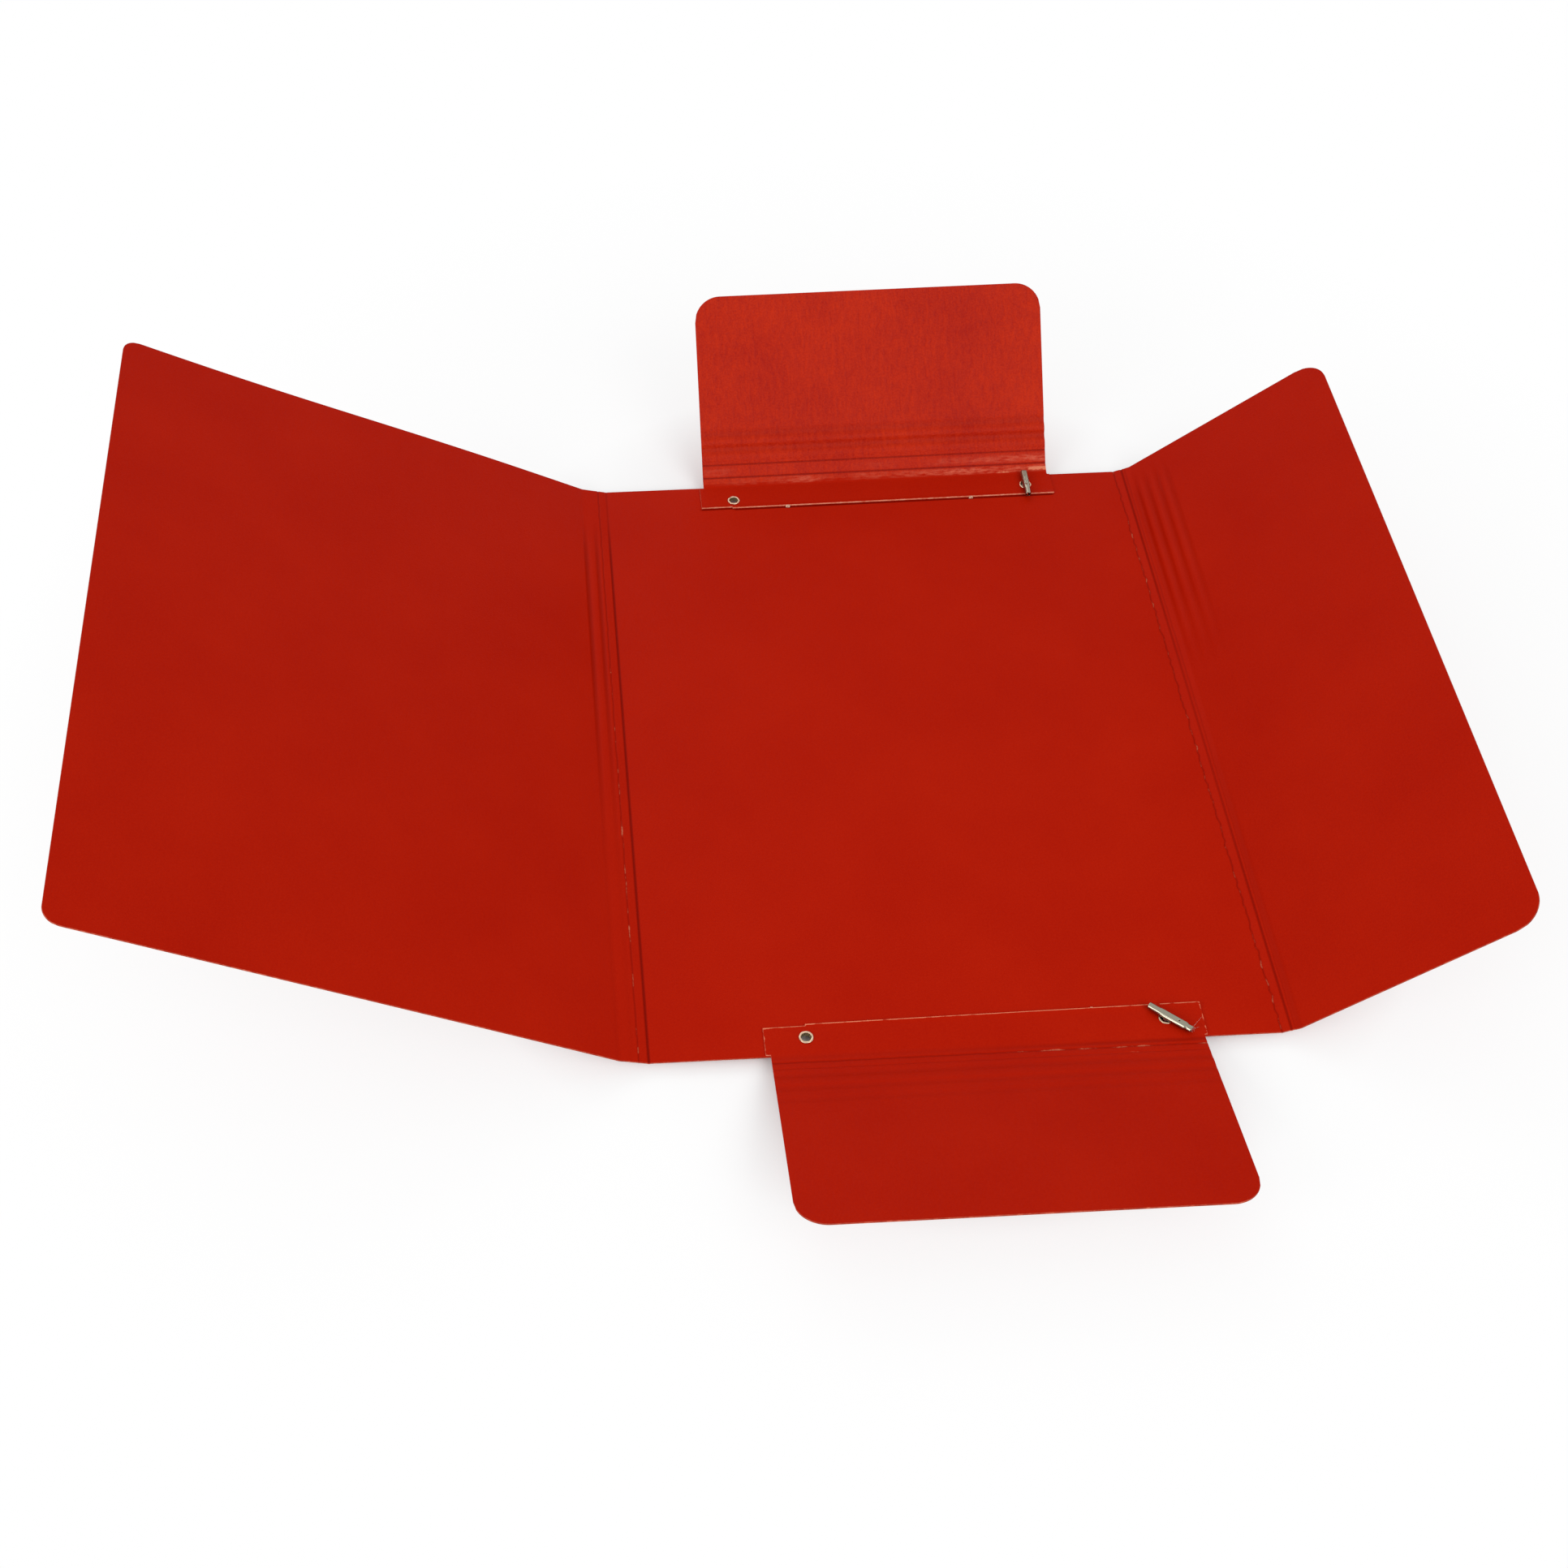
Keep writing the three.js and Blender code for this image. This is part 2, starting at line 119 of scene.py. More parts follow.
def laminated_board(name, face_hex, deep_hex, fibre_share, gloss, relief_height):
    """Board under a thin red gloss film: even colour, a fine board grain, and film that
    cracks pale where a fold has worked. Long fibres show where light grazes it."""
    material, tree = new_material(name)
    place = add_node(tree, "ShaderNodeAttribute", {"attribute_name": "sheet"}).outputs["Vector"]
    # Cloudy tone, patches of about 60 mm
    clouds = add_node(tree, "ShaderNodeTexNoise", {"Scale": 16.0, "Detail": 3.0, "Roughness": 0.6}, {"Vector": place})
    # Board grain of about 0.8 mm, drawn coarser than the real 0.2 mm so that it shows
    grain = add_node(tree, "ShaderNodeTexNoise", {"Scale": 1250.0, "Detail": 2.0, "Roughness": 0.6},
                     {"Vector": place})
    # Fibres run up the folder: 1.4 mm wide and about 5 mm long
    stretched = add_node(tree, "ShaderNodeMapping", {"Scale": (1.0, 0.26, 0.35)}, {"Vector": place})
    fibres = add_node(tree, "ShaderNodeTexNoise", {"Scale": 700.0, "Detail": 3.0, "Roughness": 0.6},
                      {"Vector": stretched.outputs["Vector"]})
    # Cloud, fibre and grain together shift the red by a few parts in a hundred
    mottle = add_node(tree, "ShaderNodeMath", {"operation": "MULTIPLY_ADD", 1: 0.9},
                      {0: grain.outputs["Fac"], 2: clouds.outputs["Fac"]})
    depth = add_node(tree, "ShaderNodeMath", {"operation": "MULTIPLY_ADD", 1: fibre_share * 0.7},
                     {0: fibres.outputs["Fac"], 2: mottle.outputs[0]})
    middle = 0.95 + fibre_share * 0.35
    share = add_node(tree, "ShaderNodeMapRange", {"From Min": middle - 0.35, "From Max": middle + 0.35},
                     {"Value": depth.outputs[0]})
    tone = add_node(tree, "ShaderNodeMix", {"data_type": "RGBA", 6: linear(deep_hex), 7: linear(face_hex)},
                    {"Factor": share.outputs[0]})
    # Film made pale by rubbing and stretched along the fold, with painted sheen where the glossy film catches the
    # light, in streaks of about 4 mm by 1 mm
    rub_and_sheen = add_node(tree, "ShaderNodeAttribute", {"attribute_name": "rub_and_sheen"})
    drawn_out = add_node(tree, "ShaderNodeMapping", {"Scale": (0.3, 1.0, 1.0)}, {"Vector": place})
    streaks = add_node(tree, "ShaderNodeTexNoise", {"Scale": 900.0, "Detail": 3.0, "Roughness": 0.65},
                       {"Vector": drawn_out.outputs["Vector"]})
    patch = add_node(tree, "ShaderNodeMapRange", {"From Min": 0.36, "From Max": 0.66},
                     {"Value": streaks.outputs["Fac"]})
    rub_and_sheen_share = add_node(tree, "ShaderNodeMath", {"operation": "MULTIPLY"},
                            {0: rub_and_sheen.outputs["Fac"], 1: patch.outputs[0]})
    rubbed_and_sheen = add_node(tree, "ShaderNodeMix", {"data_type": "RGBA", 7: linear("#dc6c52")},
                      {"Factor": rub_and_sheen_share.outputs[0], 6: tone.outputs[2]})
    # Film cracked to the pale board: painted along the folds, broken up by the grain. On the bottom tab's rims the
    # same pale colour is a painted highlight.
    wear = add_node(tree, "ShaderNodeAttribute", {"attribute_name": "wear"})
    flakes = add_node(tree, "ShaderNodeTexNoise", {"Scale": 700.0, "Detail": 3.0, "Roughness": 0.7},
                      {"Vector": place})
    cracked = add_node(tree, "ShaderNodeMath", {"operation": "MULTIPLY_ADD", 1: 0.8, 2: -0.25},
                       {0: flakes.outputs["Fac"]})
    crack_sum = add_node(tree, "ShaderNodeMath", {"operation": "ADD"},
                         {0: wear.outputs["Fac"], 1: cracked.outputs[0]})
    crack = add_node(tree, "ShaderNodeMapRange", {"From Min": 0.72, "From Max": 0.98},
                     {"Value": crack_sum.outputs[0]})
    worn_and_rim_highlight = add_node(tree, "ShaderNodeMix", {"data_type": "RGBA", 7: linear("#dc7a5a")},
                    {"Factor": crack.outputs[0], 6: rubbed_and_sheen.outputs[2]})
    # Painted shade: a darker red in the pressed lines of the folds and beside the top tab's edge, where shade falls
    pressed = add_node(tree, "ShaderNodeAttribute", {"attribute_name": "pressed"})
    shaded = add_node(tree, "ShaderNodeMix", {"data_type": "RGBA", 7: linear("#780800")},
                      {"Factor": pressed.outputs["Fac"], 6: worn_and_rim_highlight.outputs[2]})
    relief = add_node(tree, "ShaderNodeMath", {"operation": "MULTIPLY_ADD", 1: fibre_share},
                      {0: fibres.outputs["Fac"], 2: grain.outputs["Fac"]})
    bump = add_node(tree, "ShaderNodeBump", {"Strength": 0.35, "Distance": relief_height},
                    {"Height": relief.outputs[0]})
    rough = add_node(tree, "ShaderNodeMapRange", {"From Min": 0.3, "From Max": 0.7, "To Min": 0.40, "To Max": 0.52},
                     {"Value": fibres.outputs["Fac"]})
    shader = add_node(tree, "ShaderNodeBsdfPrincipled", {"IOR": 1.5, "Specular IOR Level": gloss},
                      {"Base Color": shaded.outputs[2], "Roughness": rough.outputs[0],
                       "Normal": bump.outputs["Normal"]})
    add_node(tree, "ShaderNodeOutputMaterial", {}, {"Surface": shader.outputs[0]})
    return material


def cut_board(name, tones):
    """Sheared edge of the board: pale, fibrous pulp with red smeared over it. The darker tones given for the outer
    edges are painted shade.
    """
    material, tree = new_material(name)
    place = add_node(tree, "ShaderNodeAttribute", {"attribute_name": "sheet"}).outputs["Vector"]
    # Pulp layers and tufts of 1 to 3 mm
    pulp = add_node(tree, "ShaderNodeTexNoise", {"Scale": 420.0, "Detail": 4.0, "Roughness": 0.7}, {"Vector": place})
    tone = add_node(tree, "ShaderNodeValToRGB", {}, {"Fac": pulp.outputs["Fac"]})
    ramp_stops(tone, [(at, linear(hex_colour)) for at, hex_colour in zip((0.33, 0.5, 0.66), tones)])
    bump = add_node(tree, "ShaderNodeBump", {"Strength": 0.5, "Distance": 0.0003}, {"Height": pulp.outputs["Fac"]})
    shader = add_node(tree, "ShaderNodeBsdfPrincipled", {"Roughness": 0.85, "Specular IOR Level": 0.25},
                      {"Base Color": tone.outputs["Color"], "Normal": bump.outputs["Normal"]})
    add_node(tree, "ShaderNodeOutputMaterial", {}, {"Surface": shader.outputs[0]})
    return material


def nickel_plate(name, tint_hex, roughness):
    """Nickel plate on stamped steel: warm grey and bright, with fine tool marks."""
    material, tree = new_material(name)
    place = add_node(tree, "ShaderNodeTexCoord").outputs["Object"]
    # Tool marks of about 0.3 mm
    marks = add_node(tree, "ShaderNodeTexNoise", {"Scale": 2600.0, "Detail": 2.0, "Roughness": 0.6},
                     {"Vector": place})
    haze = add_node(tree, "ShaderNodeMapRange", {"To Min": roughness - 0.03, "To Max": roughness + 0.05},
                    {"Value": marks.outputs["Fac"]})
    bump = add_node(tree, "ShaderNodeBump", {"Strength": 0.02, "Distance": 0.00001}, {"Height": marks.outputs["Fac"]})
    shader = add_node(tree, "ShaderNodeBsdfPrincipled", {"Metallic": 1.0, "Base Color": linear(tint_hex)},
                      {"Roughness": haze.outputs[0], "Normal": bump.outputs["Normal"]})
    add_node(tree, "ShaderNodeOutputMaterial", {}, {"Surface": shader.outputs[0]})
    return material


def braided_elastic(name):
    """Textile braid over rubber: red yarns of about 0.5 mm that cross on the slant."""
    material, tree = new_material(name)
    place = add_node(tree, "ShaderNodeAttribute", {"attribute_name": "braid"}).outputs["Vector"]
    # Yarns of 0.5 mm, from two sets of slanted bands
    one = add_node(tree, "ShaderNodeMapping", {"Rotation": (0.0, 0.7, 0.0)}, {"Vector": place})
    two = add_node(tree, "ShaderNodeMapping", {"Rotation": (0.0, -0.7, 0.0)}, {"Vector": place})
    yarns = {"Scale": 640.0, "Distortion": 0.6}
    left = add_node(tree, "ShaderNodeTexWave", yarns, {"Vector": one.outputs["Vector"]})
    right = add_node(tree, "ShaderNodeTexWave", yarns, {"Vector": two.outputs["Vector"]})
    braid = add_node(tree, "ShaderNodeMath", {"operation": "MAXIMUM"},
                     {0: left.outputs["Fac"], 1: right.outputs["Fac"]})
    tone = add_node(tree, "ShaderNodeValToRGB", {}, {"Fac": braid.outputs[0]})
    ramp_stops(tone, [(0.1, linear("#5e0d08")), (0.8, linear("#a3241a"))])
    bump = add_node(tree, "ShaderNodeBump", {"Strength": 0.6, "Distance": 0.0003}, {"Height": braid.outputs[0]})
    shader = add_node(tree, "ShaderNodeBsdfPrincipled", {"Roughness": 0.8, "Sheen Weight": 0.2},
                      {"Base Color": tone.outputs["Color"], "Normal": bump.outputs["Normal"]})
    add_node(tree, "ShaderNodeOutputMaterial", {}, {"Surface": shader.outputs[0]})
    return material


def rubber_threads(name):
    """Bare rubber threads and yarn at the cut end: milky, slightly see-through, pink from the braid."""
    material, tree = new_material(name)
    place = add_node(tree, "ShaderNodeTexCoord").outputs["Object"]
    # Twists of about 0.5 mm
    twist = add_node(tree, "ShaderNodeTexNoise", {"Scale": 1800.0, "Detail": 2.0}, {"Vector": place})
    tone = add_node(tree, "ShaderNodeValToRGB", {}, {"Fac": twist.outputs["Fac"]})
    ramp_stops(tone, [(0.4, linear("#b5705f")), (0.6, linear("#dcb9ac"))])
    shader = add_node(tree, "ShaderNodeBsdfPrincipled", {"Roughness": 0.5, "Transmission Weight": 0.3, "IOR": 1.5},
                      {"Base Color": tone.outputs["Color"]})
    add_node(tree, "ShaderNodeOutputMaterial", {}, {"Surface": shader.outputs[0]})
    return material


def torn_board(name):
    """Torn pulp, beige and soft, a little darker in its hollow."""
    material, tree = new_material(name)
    place = add_node(tree, "ShaderNodeTexCoord").outputs["Object"]
    # Tufts of about 0.5 mm
    tufts = add_node(tree, "ShaderNodeTexNoise", {"Scale": 1700.0, "Detail": 3.0}, {"Vector": place})
    tone = add_node(tree, "ShaderNodeValToRGB", {}, {"Fac": tufts.outputs["Fac"]})
    ramp_stops(tone, [(0.36, linear("#ad7a60")), (0.6, linear("#e2c0a6"))])
    bump = add_node(tree, "ShaderNodeBump", {"Strength": 0.5, "Distance": 0.0002}, {"Height": tufts.outputs["Fac"]})
    shader = add_node(tree, "ShaderNodeBsdfPrincipled", {"Roughness": 0.9, "Specular IOR Level": 0.2},
                      {"Base Color": tone.outputs["Color"], "Normal": bump.outputs["Normal"]})
    add_node(tree, "ShaderNodeOutputMaterial", {}, {"Surface": shader.outputs[0]})
    return material


RED_FILM = laminated_board("red_film_board", "#b01a02", "#a61300", 0.35, 0.03, 0.00025)
# The top flap's film: more fibre relief, and a lighter, more orange red than the rest of its card, which is painted
# light for the flap that faces the lamps
RED_FILM_FIBROUS_PAINTED_LIGHT = laminated_board("red_film_board_fibrous_painted_light", "#c22a06", "#a41604", 1.3, 0.1, 0.0009)
CUT_BOARD = cut_board("sheared_board_edge", ("#cf6448", "#e28a6c", "#eba384"))
# A darker copy of the sheared edge for the sheets' outer edges: painted shade that tones down edges lit by the floor
# and the front lamp
CUT_EDGE_PAINTED_SHADE = cut_board("board_edge_painted_shade", ("#8e2a18", "#ab4029", "#c05e44"))
EYELET_NICKEL = nickel_plate("nickel_plated_eyelet", "#cdb196", 0.32)
EYELET_BARREL = nickel_plate("nickel_plated_barrel", "#b9ae86", 0.45)
# Near-black nickel for the deep dimples in the barbs: painted shade, standing for the shade down in each dimple
DIMPLE_PAINTED_SHADE = nickel_plate("nickel_dimple_painted_shade", "#3a362c", 0.5)
BARB_NICKEL = nickel_plate("nickel_plated_barb", "#949080", 0.24)
ELASTIC = braided_elastic("red_braided_elastic")
THREADS = rubber_threads("bare_rubber_threads")
NICK_BOARD = torn_board("torn_board_tuft")


# Boards: one sheet's section along its run from the first fold, and its run across

def clamp(x):
    return min(1.0, max(0.0, x))


def smooth(edge0, edge1, x):
    """0 before edge0, 1 past edge1, and a soft rise between them."""
    t = clamp((x - edge0) / (edge1 - edge0))
    return t * t * (3 - 2 * t)


def towards(degrees):
    """A direction on the table, turned from the right."""
    return Vector((math.cos(math.radians(degrees)), math.sin(math.radians(degrees)), 0))


def add_object(name, data):
    item = bpy.data.objects.new(name, data)
    bpy.context.scene.collection.objects.link(item)
    return item


class Side:
    """One side of the folder at rest: two folds of the same slope, each bent over a small arc."""

    def __init__(self, origin, heading, slope, wall, arc=1.6, lean=0.0):
        self.origin = Vector(origin)
        self.lean = lean
        self.out = towards(heading)
        self.across = Vector((-self.out.y, self.out.x, 0))
        self.half = math.radians(slope / 2)
        self.wall = wall
        self.arc = arc
        # Rows of the section; nearer in than the first one the board is flat
        self.start, self.step, self.rows = -20.0, 0.05, []
        run, rise, u = self.start, 0.0, self.start
        while u < 260:
            self.rows.append((run, rise, self.angle(u)))
            run += math.cos(self.angle(u + self.step / 2)) * self.step
            rise += math.sin(self.angle(u + self.step / 2)) * self.step
            u += self.step

    def angle(self, u):
        a = self.arc / 2
        return self.half * (smooth(-a, a, u) + smooth(self.wall - a, self.wall + a, u))

    def point(self, u, v, lift):
        """Place of a spot on the board: u out from the first fold, v across, lift off the inner face."""
        k = (u - self.start) / self.step
        i = min(len(self.rows) - 2, max(0, int(k)))
        run0, rise0, angle0 = self.rows[i]
        run1, rise1, angle1 = self.rows[i + 1]
        t = k - i
        run = run0 + (run1 - run0) * t
        rise = rise0 + (rise1 - rise0) * t
        angle = angle0 + (angle1 - angle0) * t
        flat = self.out * (run - math.sin(angle) * lift) + self.across * v
        return self.origin + flat + Vector((0, flat.x * self.lean, rise + math.cos(angle) * lift))

    def unfolded(self, u, v, lift):
        """The same spot on the flat blank."""
        return self.origin + self.out * u + self.across * v + Vector((0, 0, lift))


def spread(stops, gaps):
    """Values from the first stop to the last, each stretch cut to at most its gap."""
    values = [stops[0]]
    for a, b, gap in zip(stops, stops[1:], gaps):
        count = max(1, math.ceil((b - a) / gap - 1e-6))
        values += [a + (b - a) * (i + 1) / count for i in range(count)]
    return values


def waves(seed, fast=0.3):
    """Slow ups and downs along a fold, from about -1 to 1."""
    luck = random.Random(seed)
    terms = [(luck.uniform(0.03, fast), luck.uniform(0, 6.3)) for _ in range(7)]
    return lambda v: sum(math.sin(rate * v + phase) for rate, phase in terms) / 3.2


WOBBLE = waves(4, 1.6)


def relief(u, v, lines):
    """Height of the pressed and raised lines at a spot, how much painted shade darkens them, and how much wear they
    show.
    """
    height = pressed = wear = 0.0
    for line in lines:
        centre = line["at"] + line.get("wander", 0.0) * WOBBLE(v)
        d = abs(u - centre) / line["half"]
        if d < 1:
            fade = line.get("fade", lambda across: 1.0)(v)
            bowl = (1 - d * d) ** 2
            height += line["lift"] * bowl * fade
            pressed = max(pressed, line.get("painted_shade", 0.0) * bowl * fade)
            wear = max(wear, line.get("wear", lambda across: 0.0)(v) * (1 - d) ** 0.5)
    return height, pressed, wear


FLARE = 0.05  # how far the sheared edge of a tab leans out at its foot


def board(name, side, us, vs, lines=(), corner=0.0, film=None, curl=None, holes=(), shape=None, worn_and_rim_highlight=None,
          rubbed_and_sheen=None, flared=False, dented_and_shaded=None):
    """A sheet of board on a side: film on both faces and a sheared edge all round.
    Each hole is (u, v, radius), and shape moves a spot of the outline, such as a tab's edge.
    curl, worn, rubbed and dented tell, at a spot, the lift, the wear with a painted highlight on the bottom tab's
    rims, the pale rubbing with painted sheen, and the dent with its painted shade. A flared sheet is a tab."""
    half = max(abs(vs[0]), abs(vs[-1]))
    end = us[-1]
    spots = []

    def spot(u, v, shape=shape):
        """Adds a spot of the sheet, and gives its number."""
        place, across = u, v
        start = end - corner - 6
        if corner and u > start:
            reach = end
            if abs(v) > half - corner:
                over = abs(v) - (half - corner)
                reach = end - corner + math.sqrt(max(0.0, corner * corner - over * over))
            place = start + (u - start) * (reach - start) / (end - start)
        if shape:
            place, across = shape(place, across)
        spots.append((place, across))
        return len(spots) - 1

    grid = [[spot(u, v) for u in us] for v in vs]
    sheets, rims = [], []
    taken = set()
    for hole_u, hole_v, radius in holes:
        clear = radius + 1.2
        inside_u = [i for i, u in enumerate(us) if abs(u - hole_u) <= clear]
        inside_v = [j for j, v in enumerate(vs) if abs(v - hole_v) <= clear]
        i0, i1, j0, j1 = inside_u[0], inside_u[-1], inside_v[0], inside_v[-1]
        taken |= {(i, j) for i in range(i0, i1) for j in range(j0, j1)}
        border = [(i, j0) for i in range(i0, i1)] + [(i1, j) for j in range(j0, j1)]
        border += [(i, j1) for i in range(i1, i0, -1)] + [(i0, j) for j in range(j1, j0, -1)]
        ring = []
        for i, j in border:
            away = Vector((us[i] - hole_u, vs[j] - hole_v)).normalized() * radius
            ring.append(spot(hole_u + away.x, hole_v + away.y, None))
        outer_ring = [grid[j][i] for i, j in border]
        for k in range(len(ring)):
            n = (k + 1) % len(ring)
            sheets.append((outer_ring[k], outer_ring[n], ring[n], ring[k]))
        rims.append(ring[::-1])
    for j in range(len(vs) - 1):
        for i in range(len(us) - 1):
            if (i, j) not in taken:
                sheets.append((grid[j][i], grid[j][i + 1], grid[j + 1][i + 1], grid[j + 1][i]))
    rim = [row[0] for row in grid[:0:-1]] + grid[0][:-1]
    rim += [row[-1] for row in grid[:-1]] + grid[-1][:0:-1]
    rims.append(rim)

    inner, outer, flat, painted_shade_values, wear_and_highlight_values, rub_and_sheen_values = [], [], [], [], [], []
    for place, across in spots:
        height, pressed, wear = relief(place, across, lines)
        wear = max(wear, worn_and_rim_highlight(place, across)) if worn_and_rim_highlight else wear
        dent = dented_and_shaded(place, across) if dented_and_shaded else 0.0
        # The dent sinks the board and also adds painted shade
        height, pressed = height - 0.2 * dent, max(pressed, dent)
        lift = curl(place, across) if curl else 0.0
        inner.append(side.point(place, across, height + lift))
        flare = FLARE * (1 - smooth(0.0, 0.3, place - us[0])) if flared else 0.0
        outer.append(side.point(place - flare, across, -BOARD + height * 0.6 + lift))
        flat.append(side.unfolded(place, across, 0.0))
        # pressed: painted shade in the creases and beside the top tab's edge
        painted_shade_values.append(pressed)
        # wear: cracked film, and on the bottom tab's rims a painted highlight
        wear_and_highlight_values.append(wear)
        # rub: film made pale by rubbing, partly painted sheen
        rub_and_sheen_values.append(rubbed_and_sheen(place, across) if rubbed_and_sheen else 0.0)
    count = len(spots)
    faces = list(sheets) + [tuple(c + count for c in reversed(face)) for face in sheets]
    looks = [0] * len(faces)
    for loop in rims:
        for k, a in enumerate(loop):
            b = loop[(k + 1) % len(loop)]
            faces.append((a, a + count, b + count, b))
            looks.append(1)
    mesh = bpy.data.meshes.new(name)
    mesh.from_pydata([(p + MIDDLE) * MM for p in inner + outer], [], faces)
    mesh.materials.append(film or RED_FILM)
    # Tabs take the pale sheared edge, and the other sheets its darker copy with painted shade
    mesh.materials.append(CUT_BOARD if flared else CUT_EDGE_PAINTED_SHADE)
    mesh.polygons.foreach_set("material_index", looks)
    mesh.polygons.foreach_set("use_smooth", [look == 0 for look in looks])
    for label, values in (("pressed", painted_shade_values), ("wear", wear_and_highlight_values), ("rub_and_sheen", rub_and_sheen_values)):
        layer = mesh.attributes.new(label, "FLOAT", "POINT")
        layer.data.foreach_set("value", values + [0.0] * count)
    layer = mesh.attributes.new("sheet", "FLOAT_VECTOR", "POINT")
    under = [p - Vector((0, 0, BOARD)) for p in flat]
    layer.data.foreach_set("vector", [c * MM for p in flat + under for c in p])
    mark_sharp_rims(mesh)
    piece = add_object(name, mesh)
    return piece


def mark_sharp_rims(mesh):
    """Keeps the sheared edges crisp where film meets edge."""
    mesh.update()
    kinds = {}
    for face in mesh.polygons:
        for key in face.edge_keys:
            kinds.setdefault(key, set()).add(face.material_index)
    sharp = mesh.attributes.new("sharp_edge", "BOOLEAN", "EDGE")
    sharp.data.foreach_set("value", [len(kinds.get(tuple(sorted(e.vertices)), ())) > 1 for e in mesh.edges])
    mesh.update()


SPINE = Side((-HALF_WIDTH, 0, BOARD), 180, 26.6, COVER_STRIP)
RIGHT = Side((HALF_WIDTH, 0, BOARD), 0, 38.2, SIDE_STRIP)
TOP = Side((CARD_MIDDLE, HALF_HEIGHT, 2 * BOARD), 90, 46.0, END_STRIP, lean=TAB_LEAN)
BOTTOM = Side((CARD_MIDDLE, -HALF_HEIGHT, 2 * BOARD), -90, 16.2, END_STRIP)


def place_of(side, u, v=0.0):
    return tuple((side.point(u, v, 0) + MIDDLE) * MM)


def folds_over(piece, side, u):
    """Finds the fold's place 0.9 mm before and after it, and bakes the board's transform into its mesh."""
    place_of(side, u - 0.9)
    place_of(side, u + 0.9)
    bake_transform(piece)


def patchy(level, seed, start=-400.0, stop=400.0, fast=0.3):
    """Wear along a fold that comes and goes between start and stop."""
    wave = waves(seed, fast)

    def amount(v):
        ends = smooth(start - 15, start + 15, v) * (1 - smooth(stop - 15, stop + 15, v))
        return max(0.0, level * (0.8 + 0.35 * wave(v))) * ends
    return amount


def band(u, low_edge, high_edge, soft):
    """1 between two soft edges."""
    return smooth(low_edge - soft, low_edge + soft, u) * (1 - smooth(high_edge - soft, high_edge + soft, u))


# Along the spine, v runs towards the reader. Along the right side, v runs away from the reader
def below_top_left(v):
    return smooth(-142, -112, v) * (1 - 0.85 * smooth(-60, 80, v))


def crease_left(v):
    return 0.35 + 0.65 * smooth(-146, -112, v)


# In the line tables, lift sinks or raises the board, and the entry for darkness is painted shade: a darker red in the
# creases and the soft valleys, where shade falls
LEFT_LINES = [
    {"at": 0.0, "half": 0.8, "lift": -0.34, "painted_shade": 0.9, "fade": crease_left},
    {"at": 3.9, "half": 0.55, "lift": -0.16, "painted_shade": 0.5, "wander": 0.16, "wear": patchy(0.72, 3, -60, fast=0.9)},
    {"at": 6.2, "half": 1.4, "lift": -0.4, "painted_shade": 0.4, "fade": below_top_left},
    {"at": 8.7, "half": 1.8, "lift": 0.2, "fade": below_top_left},
    {"at": 11.4, "half": 1.6, "lift": -0.45, "painted_shade": 0.4, "fade": below_top_left},
]


def near_top_right(v):
    return smooth(15, 110, v) * (1 - smooth(138, 156, v))


def crease_right(v):
    return 0.62 + 0.38 * smooth(30, 120, v) + 0.3 * (1 - smooth(-110, -20, v))


def low_right(v):
    return 1 - smooth(-70, 30, v)


RIGHT_LINES = [
    {"at": 0.0, "half": 0.5, "lift": -0.2, "painted_shade": 0.6, "wander": 0.3, "wear": patchy(0.68, 5, fast=0.9)},
    {"at": 3.7, "half": 0.75, "lift": -0.3, "painted_shade": 0.75, "fade": crease_right},
    {"at": 5.2, "half": 0.6, "lift": -0.1, "painted_shade": 0.3, "wander": 0.1},
    {"at": 6.4, "half": 2.0, "lift": -0.25, "painted_shade": 0.22, "fade": low_right},
] + [{"at": at, "half": 2.3, "lift": lift, "painted_shade": 0.16, "fade": near_top_right}
     for at, lift in ((7.7, -0.46), (12.8, -0.44), (18.3, -0.36), (23.8, -0.24))] \
  + [{"at": at, "half": 2.2, "lift": 0.2, "fade": near_top_right} for at in (10.2, 15.5, 21.0)]
TOP_LINES = [
    {"at": 4.9, "half": 0.6, "lift": -0.22, "painted_shade": 0.8},
    {"at": 10.9, "half": 0.6, "lift": -0.22, "painted_shade": 0.7},
    {"at": 14.4, "half": 3.0, "lift": 0.42},
    {"at": 18.2, "half": 2.8, "lift": -0.44, "painted_shade": 0.15},
    {"at": 21.6, "half": 3.0, "lift": 0.42},
    {"at": 25.3, "half": 3.0, "lift": -0.4, "painted_shade": 0.15},
]


def right_half(v):
    return 0.25 + 0.75 * smooth(-20, 70, v)


BOTTOM_LINES = [
    {"at": 1.6, "half": 1.5, "lift": -0.22, "painted_shade": 0.4, "fade": right_half},
    {"at": 4.0, "half": 0.7, "lift": -0.16, "painted_shade": 0.5, "wander": 0.1, "wear": patchy(0.84, 11, 0, fast=0.9)},
    {"at": 7.4, "half": 0.8, "lift": -0.14, "painted_shade": 0.1, "wander": 0.15, "wear": patchy(0.8, 12, 40, 70, fast=0.9)},
    {"at": 11.3, "half": 2.2, "lift": -0.18, "painted_shade": 0.08},
    {"at": 14.9, "half": 2.6, "lift": 0.12},
    {"at": 18.4, "half": 2.4, "lift": -0.17, "painted_shade": 0.06},
    {"at": 25.0, "half": 2.6, "lift": -0.13, "painted_shade": 0.04},
]


def eyelet_spot(x, up, stray_x, stray_y):
    """An eyelet's place on the panel: in its even row, and then as far off it as in the photo."""
    return x + stray_x, up * (HALF_HEIGHT - EYELET_INSET) + (x - CARD_MIDDLE) * TAB_LEAN + stray_y, up


def panel_point(x, y, z):
    """A spot given from the middle of the back panel's underside, in the row frame."""
    return (Vector((x, y, z)) + MIDDLE) * MM


